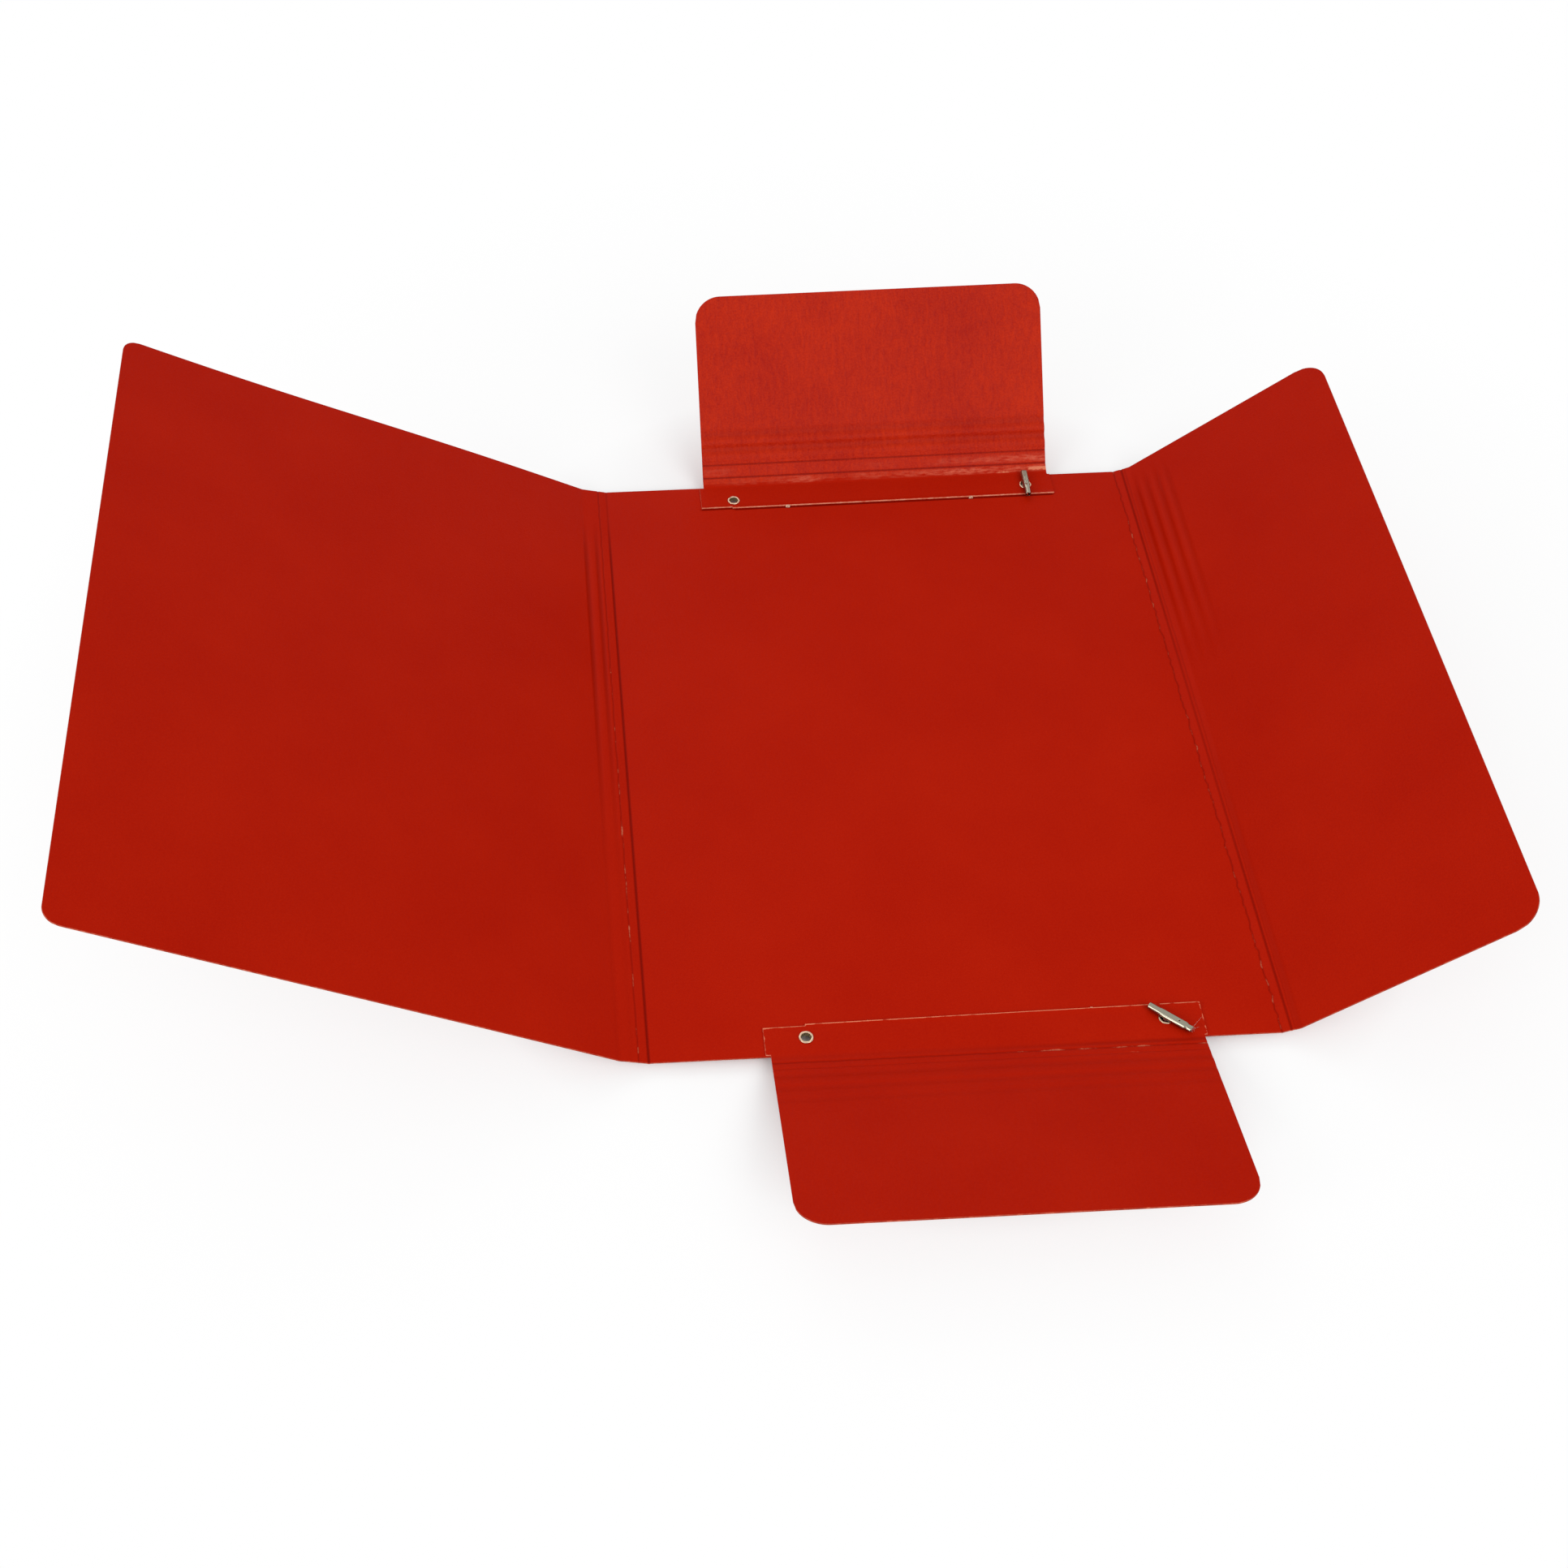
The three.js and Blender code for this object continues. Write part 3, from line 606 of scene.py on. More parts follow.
EYELETS = {
    "top_left": eyelet_spot(EYELET_LEFT, 1, -1.1, -0.4),
    "top_right": eyelet_spot(EYELET_RIGHT, 1, -0.75, 1.0),
    "bottom_left": eyelet_spot(EYELET_LEFT, -1, -0.35, -0.85),
    "bottom_right": eyelet_spot(EYELET_RIGHT, -1, -0.2, -1.45),
}
HOLE = 2.4

# The back board has the inner half of the spine strip, and at the right it ends in the flat, at x = 112
SEAM = 112.0
back_holes = [(-HALF_WIDTH - x, -y, HOLE) for x, y, up in EYELETS.values()]


def tab_edge_dent_and_painted_shadow(u, v):
    """The back panel's film is pressed in where the top tab's edge bites into it, and painted shade there, a thin
    darker line, stands for the tab's shadow on the panel.
    """
    x = -HALF_WIDTH - u - CARD_MIDDLE
    edge = HALF_HEIGHT - TAB_DEPTH + x * TAB_LEAN + (TAB_STEP if x + CARD_HALF < TAB_STEP_WIDTH["top"] else 0.0)
    d = abs(edge + v - 0.45) / 0.85
    beside = -CARD_HALF - TAB_LEFT_MORE + 0.1 < x < CARD_HALF + TAB_RIGHT_MORE - 0.1
    return (1 - d * d) ** 2 if d < 1 and beside else 0.0


back = board("back_board", SPINE, spread([-HALF_WIDTH - SEAM, -14, -3, COVER_STRIP / 2], [1.6, 1.0, 0.25]),
             spread([-HALF_HEIGHT, -148, -143.6, 145, HALF_HEIGHT], [1.2, 0.22, 3.0, 1.2]), LEFT_LINES,
             holes=back_holes, dented_and_shaded=tab_edge_dent_and_painted_shadow)
folds_over(back, SPINE, 0)
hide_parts("back_panel")


def cover_wave(u, v):
    """The cover isn't quite flat: it bows by half a millimetre or so, most along its far edge."""
    share = clamp((u - COVER_STRIP) / COVER_REACH)
    tilt = 0.5 - v / (2 * HALF_HEIGHT)
    return 0.6 * math.sin(2 * math.pi * share) * tilt + 0.3 * math.sin(math.pi * share) * math.sin(v / 60)


cover = board("cover_board", SPINE, spread([COVER_STRIP / 2, 15, 211, COVER_STRIP + COVER_REACH], [0.25, 3.5, 0.8]),
              spread([-HALF_HEIGHT, -148, 148, HALF_HEIGHT], [0.6, 2.5, 0.6]), LEFT_LINES, corner=7.0,
              curl=cover_wave)
folds_over(cover, SPINE, COVER_STRIP)
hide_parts("spine_wall", "front_cover")

side_crease = board("side_crease_board", RIGHT, spread([SEAM - HALF_WIDTH, SIDE_STRIP / 2], [0.2]),
                    spread([-HALF_HEIGHT, HALF_HEIGHT], [0.8]), RIGHT_LINES)
folds_over(side_crease, RIGHT, 0)
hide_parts("side_wall")
side = board("side_flap_board", RIGHT, spread([SIDE_STRIP / 2, 27, 86, SIDE_STRIP + SIDE_REACH], [0.25, 3.0, 0.8]),
             spread([-HALF_HEIGHT, -144, 144, HALF_HEIGHT], [0.7, 2.0, 0.7]), RIGHT_LINES, corner=12.0)
folds_over(side, RIGHT, SIDE_STRIP)
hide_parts("side_wall", "side_flap")


# Cards at the top and bottom: a tab glued on the panel, a short strip and a flap

def card_width(u):
    """Half the card's width: the flap is cut a little narrower at its fold."""
    return CARD_HALF_AT_FOLD + (CARD_HALF - CARD_HALF_AT_FOLD) * clamp(u / 90)


def wider_right(u, v, turn):
    """The bottom card reaches a little further to the right than the top one, most at its fold."""
    more = 2.2 - 2.5 * clamp(u / 90)
    return v * (CARD_HALF + more) / CARD_HALF if turn > 0 and v > 0 else v


def tab_outline(word, turn):
    """The tab is a little wider than the flap, and its inner edge steps back at the left end."""
    def moved(u, v):
        x = turn * v
        if u > -0.4 - (max(0.0, x * TAB_LEAN) if turn < 0 else 0.0):
            return u, wider_right(u, v * card_width(u) / CARD_HALF, turn)
        edge = clamp((-12.6 - u) / (TAB_DEPTH - 12.6))
        if turn > 0:
            u -= x * TAB_LEAN * edge
        if x + CARD_HALF < TAB_STEP_WIDTH[word]:
            u += TAB_STEP * edge
        half = CARD_HALF + (TAB_LEFT_MORE if x < 0 else TAB_RIGHT_MORE)
        return u, wider_right(u, v * half / CARD_HALF, turn)
    return moved


def tab_lift(u, v):
    """The tab's inner edge has come a little loose from the panel."""
    return 0.3 * (1 - smooth(-TAB_DEPTH, -12.4, u))


def flap_outline(turn):
    def moved(u, v):
        return u, wider_right(u, v * card_width(u) / CARD_HALF, turn)
    return moved


def top_chip(u, v):
    """A chip of bare board at the right end of the fold, and a scuff beside the barb."""
    x = -v
    chip = 1.1 * band(u, 1.5 + 0.3 * EDGE_WAVE(x * 2), 3.3, 0.25) * smooth(70, 75, x)
    scuff = 0.7 * band(u, 0.4, 1.8, 0.4) * band(x, 56, 66, 4.0)
    return max(chip, scuff)


def top_rub_and_sheen(u, v):
    """Film made glossy and pale by rubbing on the strip and just above it, most at the right; the pale colour is
    partly painted sheen where the glossy film catches the light.
    """
    x = -v
    strip = band(u, 0.9, 4.1, 0.6) * (0.16 + 0.5 * smooth(-30, 75, x) + 0.2 * TOP_WAVE(x))
    above = band(u, 6.2, 9.0, 1.0) * (0.62 * smooth(0, 80, x) + 0.12 * TOP_WAVE(x + 40))
    return clamp(max(strip, above))


def top_tab_wear(u, v):
    edge = 0.5 if u < -TAB_DEPTH + 0.25 else 0.0
    return max(top_chip(u, v), edge)


def bottom_tab_painted_rim_highlight(u, v):
    """Broken light dashes along the tab's edges: a painted highlight where the rims catch the light, drawn in the
    pale colour of cracked film.
    """
    edge = -TAB_DEPTH - v * TAB_LEAN + (TAB_STEP if v + CARD_HALF < TAB_STEP_WIDTH["bottom"] else 0)
    inner = (1 - smooth(0.22, 0.52, u - edge)) * (0.93 + 0.2 * EDGE_WAVE(v))
    ends = 0.0
    if u < -0.5:
        to_end = min(CARD_HALF + TAB_LEFT_MORE + v, CARD_HALF + 2.0 - v)
        ends = (1 - smooth(0.1, 0.5, to_end)) * (0.74 + 0.25 * EDGE_WAVE(u * 6))
    return max(inner, ends, 0.0)


# How the wear on the cards comes and goes
TOP_WAVE, EDGE_WAVE = waves(21), waves(22, 1.2)

for word, fold_side, turn, lines, film, tab_wear_and_rim_highlight, flap_worn, rub_and_sheen in (
        ("top", TOP, -1, TOP_LINES, RED_FILM_FIBROUS_PAINTED_LIGHT, top_tab_wear, top_chip, top_rub_and_sheen),
        ("bottom", BOTTOM, 1, BOTTOM_LINES, RED_FILM, bottom_tab_painted_rim_highlight, None, None)):
    holes = []
    for x, y, up in EYELETS.values():
        if (up > 0) == (word == "top"):
            aside = x - CARD_MIDDLE
            holes.append((abs(y) - HALF_HEIGHT - aside * fold_side.lean, turn * aside, HOLE))
    step_at = turn * (TAB_STEP_WIDTH[word] - CARD_HALF)
    stops = sorted([-CARD_HALF, step_at - 0.05, step_at + 0.05, CARD_HALF])
    tab = board(word + "_tab_board", fold_side, spread([-TAB_DEPTH, -13.4, -2.5, END_STRIP / 2], [0.2, 1.1, 0.2]),
                spread(stops, [1.0, 0.2, 1.0]), lines, film=RED_FILM, holes=holes,
                shape=tab_outline(word, turn), worn_and_rim_highlight=tab_wear_and_rim_highlight, rubbed_and_sheen=rub_and_sheen, curl=tab_lift, flared=True)
    folds_over(tab, fold_side, 0)
    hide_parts(word + "_tab", word + "_wall")
    flap = board(word + "_flap_board", fold_side,
                 spread([END_STRIP / 2, 29, 70, END_STRIP + END_REACH], [0.25, 2.5, 0.8]),
                 spread([-CARD_HALF, -68, 68, CARD_HALF], [0.7, 1.5, 0.7]), lines, corner=12.0, film=film,
                 shape=flap_outline(turn), worn_and_rim_highlight=flap_worn, rubbed_and_sheen=rub_and_sheen)
    folds_over(flap, fold_side, END_STRIP)
    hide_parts(word + "_flap")


# Eyelets, barbs and elastic

FLANGE = 0.5
CORD_RADIUS = 1.1
CORD_BEND = 1.6
CORD_LOW = -(FLANGE + 0.1 + CORD_RADIUS)
BARB_WALL = 0.35
BARB_Z = 2 * BOARD + FLANGE + 1.37


def solid_piece(name, points, faces, material, body="back", crisp=()):
    """A closed piece from points in the panel's frame. Faces whose numbers are in crisp stay flat."""
    mesh = bpy.data.meshes.new(name)
    mesh.from_pydata([panel_point(*p) for p in points], [], faces)
    mesh.materials.append(material)
    flat = set(crisp)
    mesh.polygons.foreach_set("use_smooth", [n not in flat for n in range(len(mesh.polygons))])
    mesh.update()
    piece = add_object(name, mesh)
    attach(piece, body)
    return piece


def rings_to_faces(rings, size, closed):
    """Quads between rings of points; closed joins the last ring to the first."""
    faces = []
    for r in range(rings if closed else rings - 1):
        n = (r + 1) % rings
        for k in range(size):
            m = (k + 1) % size
            faces.append((r * size + k, r * size + m, n * size + m, n * size + k))
    return faces


def eyelet(name, x, y, turn):
    """Barrel with a flange rolled over at both ends. Clinching leaves it faintly six-sided and uneven."""
    profile = [(1.96, 1.4), (1.98, 1.66), (2.04, 1.82), (2.16, 1.9), (2.5, 1.9), (2.74, 1.84), (2.86, 1.7),
               (2.88, 1.54), (2.82, 1.42), (2.55, 1.41), (2.3, 1.41), (2.3, -0.01), (2.55, -0.01), (2.8, -0.02),
               (2.85, -0.14), (2.8, -0.3), (2.68, -0.42), (2.5, -0.5), (2.3, -0.5), (2.14, -0.43), (2.04, -0.28),
               (2.0, -0.1), (2.0, 0.4), (2.0, 1.0)]
    luck = random.Random(turn)
    bumps = [(n, luck.uniform(0.003, 0.012), luck.uniform(0, 6.3)) for n in (5, 9, 13)]
    points, rounds = [], 96
    for k in range(rounds):
        a = 2 * math.pi * k / rounds
        uneven = sum(size * math.cos(n * a + phase) for n, size, phase in bumps)
        for radius, height in profile:
            rim = max(0.0, (radius - 2.0) / 0.85)
            sides = 0.02 * math.cos(6 * a + 0.5) * (1 - 0.5 * rim)
            r = radius * (1 + (sides - 0.02) * (1 if radius < 2.3 or height > 1.41 or height < -0.01 else 0))
            r += radius * uneven * rim
            dip = 0.05 * math.cos(7 * a + turn) * rim * (1 if height > 1 else -1)
            clinched = rim > 0.3 and abs(height - 0.7) > 0.72
            points.append((x + r * math.cos(a), y + r * math.sin(a), height + (dip if clinched else 0)))
    faces = [tuple(reversed(f)) for f in rings_to_faces(rounds, len(profile), True)]
    piece = solid_piece(name, points, faces, EYELET_NICKEL)
    piece.data.materials.append(EYELET_BARREL)
    for n, face in enumerate(faces):
        if all(points[c][2] < 1.5 and math.hypot(points[c][0] - x, points[c][1] - y) < 2.15 for c in face):
            piece.data.polygons[n].material_index = 1
    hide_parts("eyelet_" + name.split("eyelet_")[-1].replace("_ring", ""))
    return piece


for count, (name, (x, y, up)) in enumerate(EYELETS.items()):
    eyelet("eyelet_" + name + "_ring", x, y, count + 1)


def barb(name, place, turn, behind, length, dimples, wide=1.0, crimp=0.0):
    """Barb rolled from nickelled sheet. The half behind the eyelet is an empty round tube. The half in
    front is wider, pressed flat on top where it grips the cord, and dimpled. The seam is underneath.
    wide stretches it sideways, and crimp is the depth of a groove behind a narrower end."""
    front = length - behind
    sections, around = 150, 72
    along, aside = towards(turn), towards(turn + 90)
    middle = Vector((*place, BARB_Z))
    points = []

    def reach(s, a, depth):
        """Distance from the axis to the skin at angle a: round behind, pressed flat with a bevel in front."""
        grip = smooth(-4.4, -0.6, s)
        tip = max(smooth(front - 0.3, front + 0.02, s), 1 - smooth(-behind - 0.02, -behind + 0.3, s))
        round_reach = 1.3 + 0.25 * grip
        if math.sin(a) > 0:
            lean = 0.66 if math.cos(a) > 0 else math.pi - 0.66
            faces = (round_reach, 1.1 / math.sin(a), 1.44 / max(0.1, math.cos(a - lean)))
            pressed = sum(f ** -14 for f in faces) ** (-1 / 14) + 0.03
            round_reach += (pressed - round_reach) * grip
            round_reach += 0.02 * math.cos(13 * a) * grip * (1 - smooth(3.0, 6.0, s))
        if crimp:
            groove = crimp * math.exp(-((s - front + 2.2) / 0.35) ** 2)
            round_reach -= groove + 0.3 * smooth(front - 2.2, front - 1.8, s)
        return round_reach - depth - 0.14 * tip * (1 - depth / BARB_WALL)

    size = 2 * (around + 1)
    for n in range(sections):
        s = -behind + length * n / (sections - 1)
        gate = smooth(-2.0, -1.2, s) * (1 - smooth(2.4, 3.4, s))
        gap = 0.24 + 0.72 * gate
        for radius_in, order in ((0.0, range(around + 1)), (BARB_WALL, range(around, -1, -1))):
            for k in order:
                a = -math.pi / 2 + gap + (2 * math.pi - 2 * gap) * k / around
                far = reach(s, a, radius_in)
                side, rise, d = math.cos(a) * far * wide, math.sin(a) * far, math.sin(a)
                for place, breadth, depth, skew in dimples:
                    du, dv = s - (place * length - behind), side - skew
                    d2 = (du * du + dv * dv) / (breadth * breadth)
                    if d > 0.3 and d2 < 4:
                        rise -= depth * math.exp(-1.8 * d2 * d2)
                        rise += 0.07 * math.exp(-6 * (math.sqrt(d2) - 1.25) ** 2)
                points.append(tuple(middle + along * s + aside * side + Vector((0, 0, rise))))
    faces = rings_to_faces(sections, size, False)
    last = (sections - 1) * size
    crisp, pits = [], []
    for n, face in enumerate(faces):
        spot = sum((Vector(points[c]) for c in face), Vector()) / 4 - middle
        for place, breadth, depth, skew in dimples:
            away = math.hypot(spot.dot(along) - (place * length - behind), spot.dot(aside) - skew)
            if depth > 0.4 and away < breadth * 0.72 and spot.z > 0:
                pits.append(n)
    for k in range(around):
        faces.append((k, size - 1 - k, size - 2 - k, k + 1))
        faces.append((last + k, last + k + 1, last + size - 2 - k, last + size - 1 - k))
        crisp += [len(faces) - 2, len(faces) - 1]
    piece = solid_piece(name, points, faces, BARB_NICKEL, crisp=crisp)
    # The deep dimples take the near-black nickel: painted shade in the hollow
    piece.data.materials.append(DIMPLE_PAINTED_SHADE)
    for n in pits:
        piece.data.polygons[n].material_index = 1
    return piece


TOP_BARB = {"turn": 88, "behind": 7.9, "length": 15.9}
LOW_BARB = {"turn": -41, "behind": 7.8, "length": 18.4}
top_out, low_out = towards(TOP_BARB["turn"]), towards(LOW_BARB["turn"])
top_at = (EYELETS["top_right"][0], EYELETS["top_right"][1] - 1.0)
low_at = (EYELETS["bottom_right"][0] + 0.2, EYELETS["bottom_right"][1] - 0.05)
top_barb = barb("barb_top_rolled", top_at, **TOP_BARB, wide=1.06,
                dimples=[(0.76, 0.36, 0.6, 0.05), (0.55, 0.42, 0.3, -0.1)])
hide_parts("barb_top")
low_barb = barb("barb_bottom_rolled", low_at, **LOW_BARB, wide=1.1, crimp=0.16, dimples=[(0.7, 0.36, 0.6, 0.0)])
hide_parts("barb_bottom")


def tube(name, path, radius_at, around, material):
    """A closed round rod along a path. Its braid is mapped along the run."""
    path = [Vector(p) for p in path]
    points, flat = [], []
    side = None
    run = 0.0
    for n, p in enumerate(path):
        ahead = (path[min(n + 1, len(path) - 1)] - path[max(n - 1, 0)]).normalized()
        if side is None:
            side = ahead.orthogonal().normalized()
        side = (side - ahead * side.dot(ahead)).normalized()
        up = ahead.cross(side)
        if n:
            run += (p - path[n - 1]).length
        for k in range(around):
            a = 2 * math.pi * k / around
            r = radius_at(run, a)
            points.append(tuple(p + side * math.cos(a) * r + up * math.sin(a) * r))
            flat.append((math.cos(a) * r, math.sin(a) * r, run))
    faces = rings_to_faces(len(path), around, False)
    last = (len(path) - 1) * around
    faces.append(tuple(range(around - 1, -1, -1)))
    faces.append(tuple(range(last, last + around)))
    piece = solid_piece(name, points, faces, material)
    layer = piece.data.attributes.new("braid", "FLOAT_VECTOR", "POINT")
    layer.data.foreach_set("vector", [c * MM for p in flat for c in p])
    return piece


def quarter(corner, come, go, steps=8, radius=CORD_BEND):
    """A bend of the elastic: arrives along come, and leaves along go."""
    come, go, corner = Vector(come), Vector(go), Vector(corner)
    centre = corner - come * radius + go * radius
    bends = [math.pi / 2 * k / steps for k in range(steps + 1)]
    return [centre - go * radius * math.cos(a) + come * radius * math.sin(a) for a in bends]


def elastic_route():
    """From the end in the bottom barb, down its eyelet, under the panel and up into the top barb."""
    (x, low_y, _), (high_x, high_y, _) = EYELETS["bottom_right"], EYELETS["top_right"]
    up, ahead = Vector((0, 0, 1)), Vector((0, 1, 0))
    start = Vector((*low_at, BARB_Z)) + low_out * (LOW_BARB["length"] - LOW_BARB["behind"] + 0.2)
    route = [start + (Vector((x, low_y, BARB_Z)) + low_out * CORD_BEND - start) * k / 12 for k in range(12)]
    route += quarter((x, low_y, BARB_Z), -low_out, -up)
    route += quarter((x, low_y, CORD_LOW), -up, ahead)
    a, b = Vector((x, low_y + 2.2, CORD_LOW)), Vector((high_x, high_y - 2.2, CORD_LOW))
    route += [a + (b - a) * k / 300 for k in range(301)]
    route += quarter((high_x, high_y, CORD_LOW), ahead, up)
    route += quarter((high_x, high_y, BARB_Z), up, top_out)
    end = Vector((*top_at, BARB_Z)) + top_out * (TOP_BARB["length"] - TOP_BARB["behind"] - 0.3)
    first = route[-1]
    route += [first + (end - first) * k / 10 for k in range(1, 11)]
    return route


ROUTE = elastic_route()
CORD_LENGTH = sum((b - a).length for a, b in zip(ROUTE, ROUTE[1:]))


def cord_radius(run, angle):
    """The braid's strands stand slightly proud of the rubber."""
    from_low, from_high = run, CORD_LENGTH - run
    gripped = (1 - smooth(9.5, 10.6, from_low)) + (1 - smooth(6.2, 7.2, from_high))
    radius = CORD_RADIUS - 0.38 * gripped
    return radius - 0.03 + 0.03 * math.cos(8 * angle + run * 2.2) * math.cos(8 * angle - run * 2.2)


elastic = tube("elastic_braid", ROUTE, cord_radius, 32, ELASTIC)
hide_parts("elastic_cord")


def frayed_end(name, end, along, count, seed, long_ones):
    """Cut rubber threads and yarn that stick out of a barb: short loops, and a few long strays."""
    luck = random.Random(seed)
    along = Vector(along).normalized()
    aside = Vector((-along.y, along.x, 0))
    joints, around = 13, 6
    points, faces = [], []
    for n in range(count + len(long_ones)):
        if n < count:
            swing, rise = luck.uniform(0.3, 1.7), luck.uniform(-0.7, 0.35)
            reach, thick = luck.uniform(0.6, 1.4), luck.uniform(0.06, 0.11)
            root = Vector(end) + aside * luck.uniform(-0.75, 0.75) + Vector((0, 0, luck.uniform(-0.6, 0.5)))
            bend = luck.uniform(-0.4, 2.0)
        else:
            swing, reach, bend, rise = long_ones[n - count]
            thick = 0.05
            root = Vector(end) + aside * 0.3
        path = []
        for k in range(joints):
            t = k / (joints - 1)
            sideways = reach * t * math.sin(swing) + bend * t * t * 0.6
            path.append(root + along * reach * t * math.cos(swing) + aside * sideways
                        + Vector((0, 0, rise * t + 0.9 * t * (1 - t))))
        start = len(points)
        side = Vector((0.3, 0.2, 1)).normalized()
        for k, p in enumerate(path):
            ahead = (path[min(k + 1, joints - 1)] - path[max(k - 1, 0)]).normalized()
            side = (side - ahead * side.dot(ahead)).normalized()
            up = ahead.cross(side)
            r = thick * (1 - 0.5 * k / (joints - 1))
            for c in range(around):
                a = 2 * math.pi * c / around
                points.append(tuple(p + side * math.cos(a) * r + up * math.sin(a) * r))
        faces += [tuple(start + c for c in face) for face in rings_to_faces(joints, around, False)]
        faces.append(tuple(range(start + around - 1, start - 1, -1)))
        faces.append(tuple(range(start + (joints - 1) * around, start + joints * around)))
    return solid_piece(name, points, faces, THREADS)


frayed_end("elastic_threads_bottom", ROUTE[0] - low_out * 0.5, low_out, 16, 31,
           [(1.45, 5.6, 1.4, 1.2), (1.5, 3.2, -1.4, 0.5), (0.6, 2.4, 1.6, 0.2)])


# Nicks left where the tab was held in its sheet: a small tuft of board at its inner edge

def nick(name, x, up, size):
    edge = up * (HALF_HEIGHT - TAB_DEPTH) + (x - CARD_MIDDLE) * TAB_LEAN
    rounds, steps = 30, 6
    points = []
    for k in range(steps + 1):
        lift = k / steps
        spread_out = math.sqrt(max(0.0, 1 - lift ** 3)) if k < steps else 0.25
        for n in range(rounds):
            a = 2 * math.pi * n / rounds
            r = size * spread_out * (1 + 0.13 * math.cos(3 * a + 1.6 * up) + 0.05 * math.cos(7 * a))
            dent = 0.2 * size * (1 - spread_out) if k == steps else 0.0
            points.append((x + r * math.cos(a), edge - up * 0.2 * size + r * 0.9 * math.sin(a),
                           BOARD + 0.02 + (1.0 + 0.5 * size) * lift * BOARD - dent))
    faces = rings_to_faces(steps + 1, rounds, False)
    faces.append(tuple(range(rounds - 1, -1, -1)))
    faces.append(tuple(range(steps * rounds, steps * rounds + rounds)))
    return solid_piece(name, points, faces, NICK_BOARD)


for number, (offset, up, size) in enumerate(((-43, 1, 1.0), (43, 1, 0.95), (-43, -1, 0.4), (43, -1, 0.62))):
    nick("tab_nick_%d" % (number + 1), CARD_MIDDLE + offset, up, size)


# Table, light and camera

def seen_directly(tree):
    """1 for what the camera sees, also in gloss and through glass, and 0 for light on the folder."""
    path = add_node(tree, "ShaderNodeLightPath")
    seen = add_node(tree, "ShaderNodeMath", {"operation": "MAXIMUM"},
                    {0: path.outputs["Is Camera Ray"], 1: path.outputs["Is Transmission Ray"]})
    seen = add_node(tree, "ShaderNodeMath", {"operation": "MAXIMUM"},
                    {0: seen.outputs[0], 1: path.outputs["Is Glossy Ray"]})
    return seen.outputs[0]


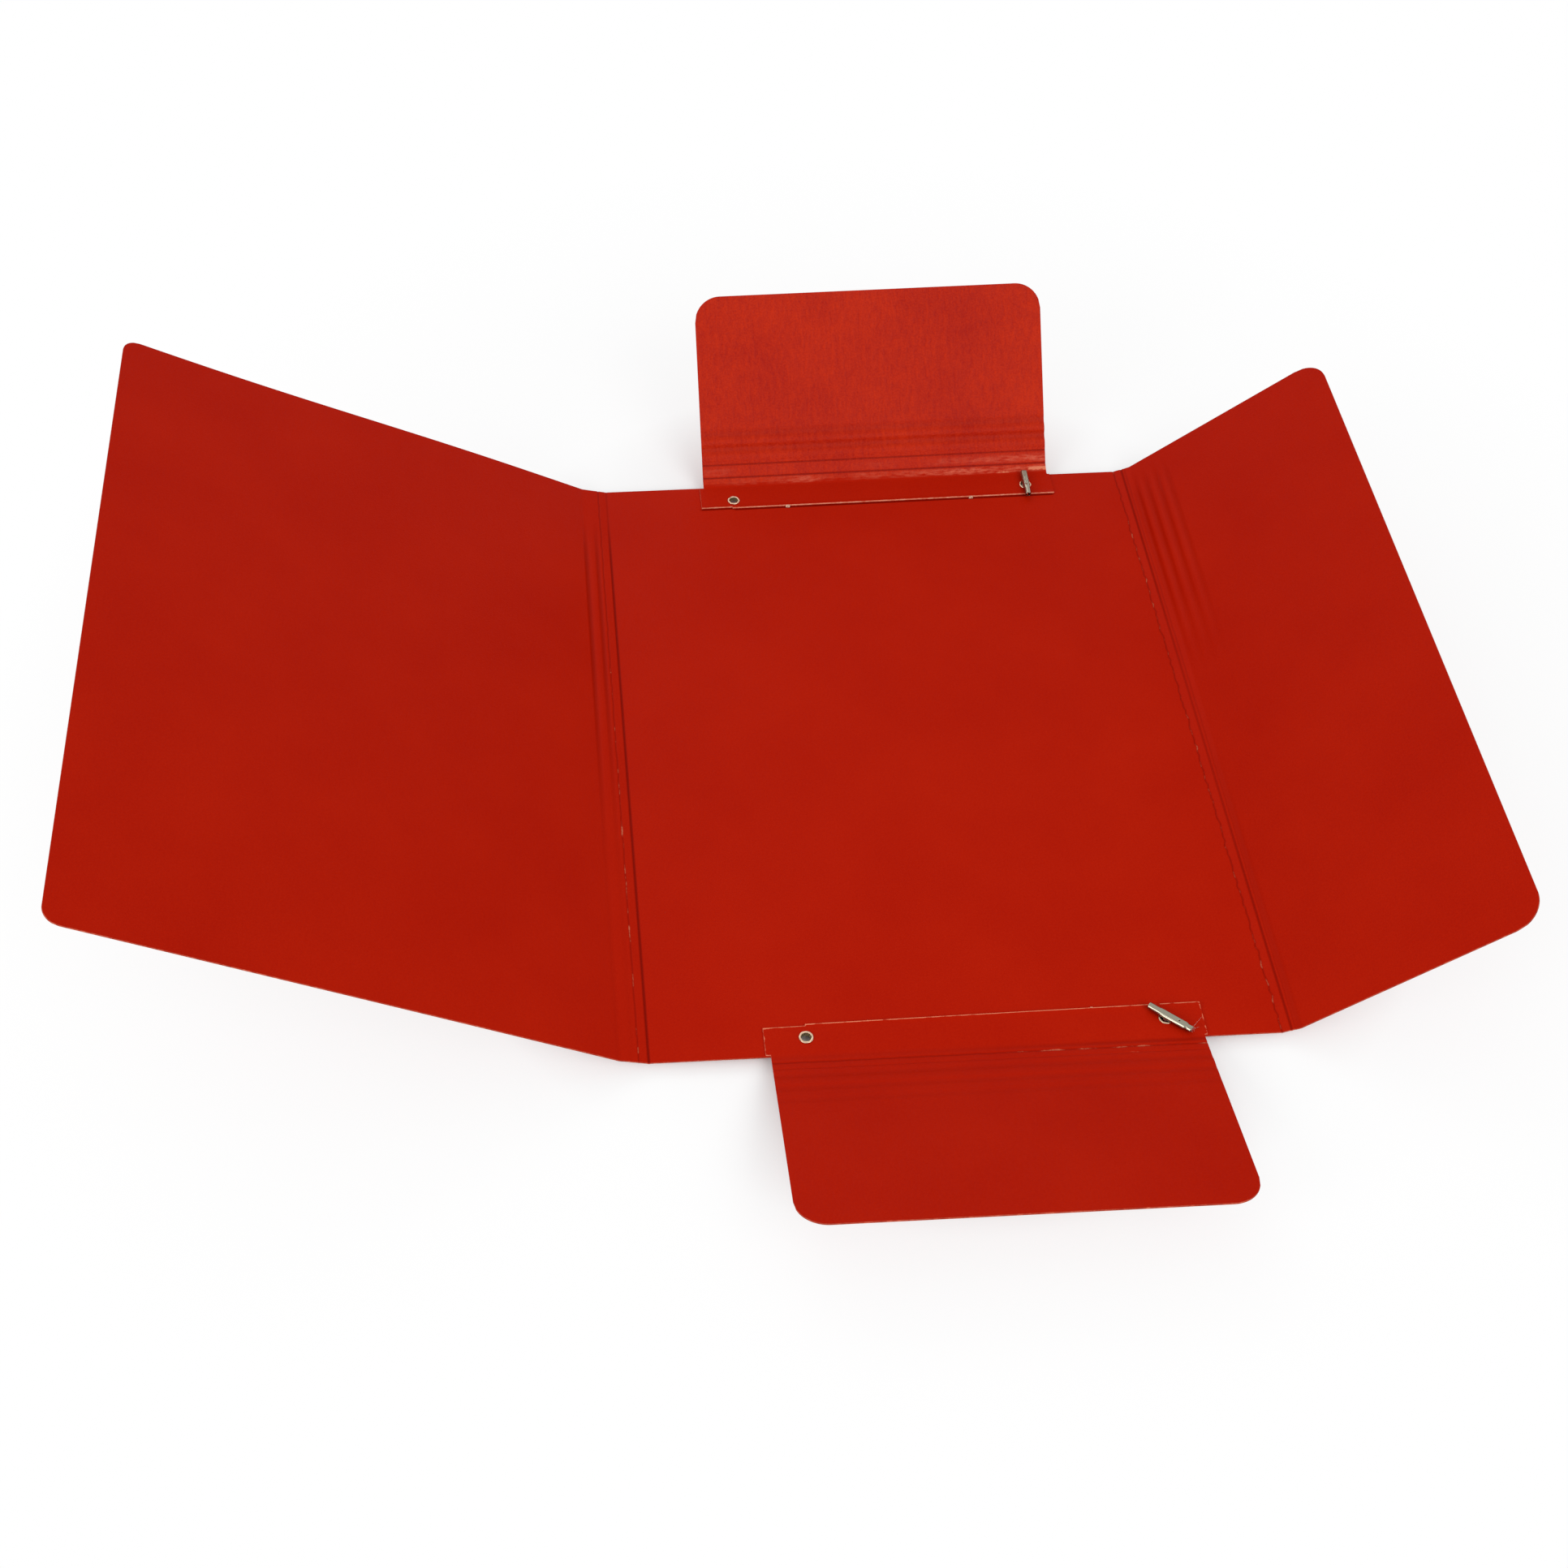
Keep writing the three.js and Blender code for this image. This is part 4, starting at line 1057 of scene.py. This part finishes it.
def plain_table():
    """White table under the folder. It keeps the folder's shadow, and the camera sees it white beyond."""
    mesh = bpy.data.meshes.new("table")
    size = 6.0
    mesh.from_pydata([(-size, -size, 0), (size, -size, 0), (size, size, 0), (-size, size, 0)], [], [(0, 1, 2, 3)])
    material, tree = new_material("matt_white_table")
    paint = add_node(tree, "ShaderNodeBsdfPrincipled",
                     {"Base Color": linear("#f6f6f6"), "Roughness": 0.9, "Specular IOR Level": 0.1})
    white = add_node(tree, "ShaderNodeEmission", {"Color": (1.0, 1.0, 1.0, 1.0), "Strength": 1.0})
    # Near the folder the table keeps more of its own shade, and half a metre off it is plain white
    place = add_node(tree, "ShaderNodeTexCoord").outputs["Object"]
    oval = add_node(tree, "ShaderNodeMapping", {"vector_type": "TEXTURE", "Scale": (0.23, 0.25, 1.0),
                                                "Location": (MIDDLE.x * MM, MIDDLE.y * MM, 0.0)}, {"Vector": place})
    away = add_node(tree, "ShaderNodeVectorMath", {"operation": "LENGTH"}, {0: oval.outputs["Vector"]})
    reach = add_node(tree, "ShaderNodeMath", {"operation": "MULTIPLY", 1: 0.4}, {0: away.outputs["Value"]})
    white_share = add_node(tree, "ShaderNodeValToRGB", {}, {"Fac": reach.outputs[0]})
    ramp_stops(white_share, [(0.27, (0, 0, 0, 1)), (0.38, (0.8, 0.8, 0.8, 1)), (0.7, (1, 1, 1, 1))])
    share = add_node(tree, "ShaderNodeMath", {"operation": "MULTIPLY"},
                     {0: seen_directly(tree), 1: white_share.outputs["Color"]})
    both = add_node(tree, "ShaderNodeMixShader", {}, {0: share.outputs[0], 1: paint.outputs[0], 2: white.outputs[0]})
    add_node(tree, "ShaderNodeOutputMaterial", {}, {"Surface": both.outputs[0]})
    mesh.materials.append(material)
    table = add_object("table", mesh)
    table.location.z = -0.0002


def softbox(name, place, aim, size, power):
    lamp = bpy.data.lights.new(name, "AREA")
    lamp.shape = "RECTANGLE"
    lamp.size, lamp.size_y = size
    lamp.energy = power
    holder = add_object(name, lamp)
    holder.location = place
    holder.rotation_euler = (Vector(aim) - Vector(place)).to_track_quat("-Z", "Y").to_euler()


def room_light():
    """White surroundings: plain white to the camera, gloss and glass, and softer on the folder."""
    world = bpy.data.worlds.new("white_room")
    bpy.context.scene.world = world
    world.use_nodes = True
    tree = world.node_tree
    tree.nodes.clear()
    strength = add_node(tree, "ShaderNodeMapRange", {"To Min": 0.62, "To Max": 1.0}, {"Value": seen_directly(tree)})
    glow = add_node(tree, "ShaderNodeBackground", {"Color": (1.0, 1.0, 1.0, 1.0)}, {"Strength": strength.outputs[0]})
    add_node(tree, "ShaderNodeOutputWorld", {}, {"Surface": glow.outputs[0]})


def photo_camera():
    """The photograph's own view: from in front and above, with its frame shifted to one side."""
    lens = bpy.data.cameras.new("camera")
    lens.sensor_fit = "HORIZONTAL"
    lens.sensor_width = 36.0
    lens.lens = 55.668
    lens.shift_x = 0.1073
    lens.shift_y = -0.1224
    lens.clip_start = 0.01
    right = Vector((0.998552, -0.053315, -0.007209))
    down = Vector((-0.042428, -0.697976, -0.714864))
    ahead = Vector((0.033081, 0.714134, -0.699227))
    eye = Vector((-92.89, -674.22, 765.88)) * MM
    turn = Matrix((right, -down, -ahead)).transposed()
    holder = add_object("camera", lens)
    holder.matrix_world = Matrix.Translation(eye) @ turn.to_4x4()
    bpy.context.scene.camera = holder


plain_table()
softbox("front_softbox", (0.9, -1.2, 1.3), (-0.1, 0.0, 0.0), (1.2, 0.9), 13.5)
softbox("left_softbox", (-1.3, -0.9, 0.8), (0.1, 0.0, 0.0), (0.8, 0.7), 9.5)
softbox("back_softbox", (-0.5, 1.6, 1.4), (0.0, 0.0, 0.0), (1.6, 0.8), 6.0)
room_light()
photo_camera()
bpy.context.scene.view_settings.view_transform = "Standard"
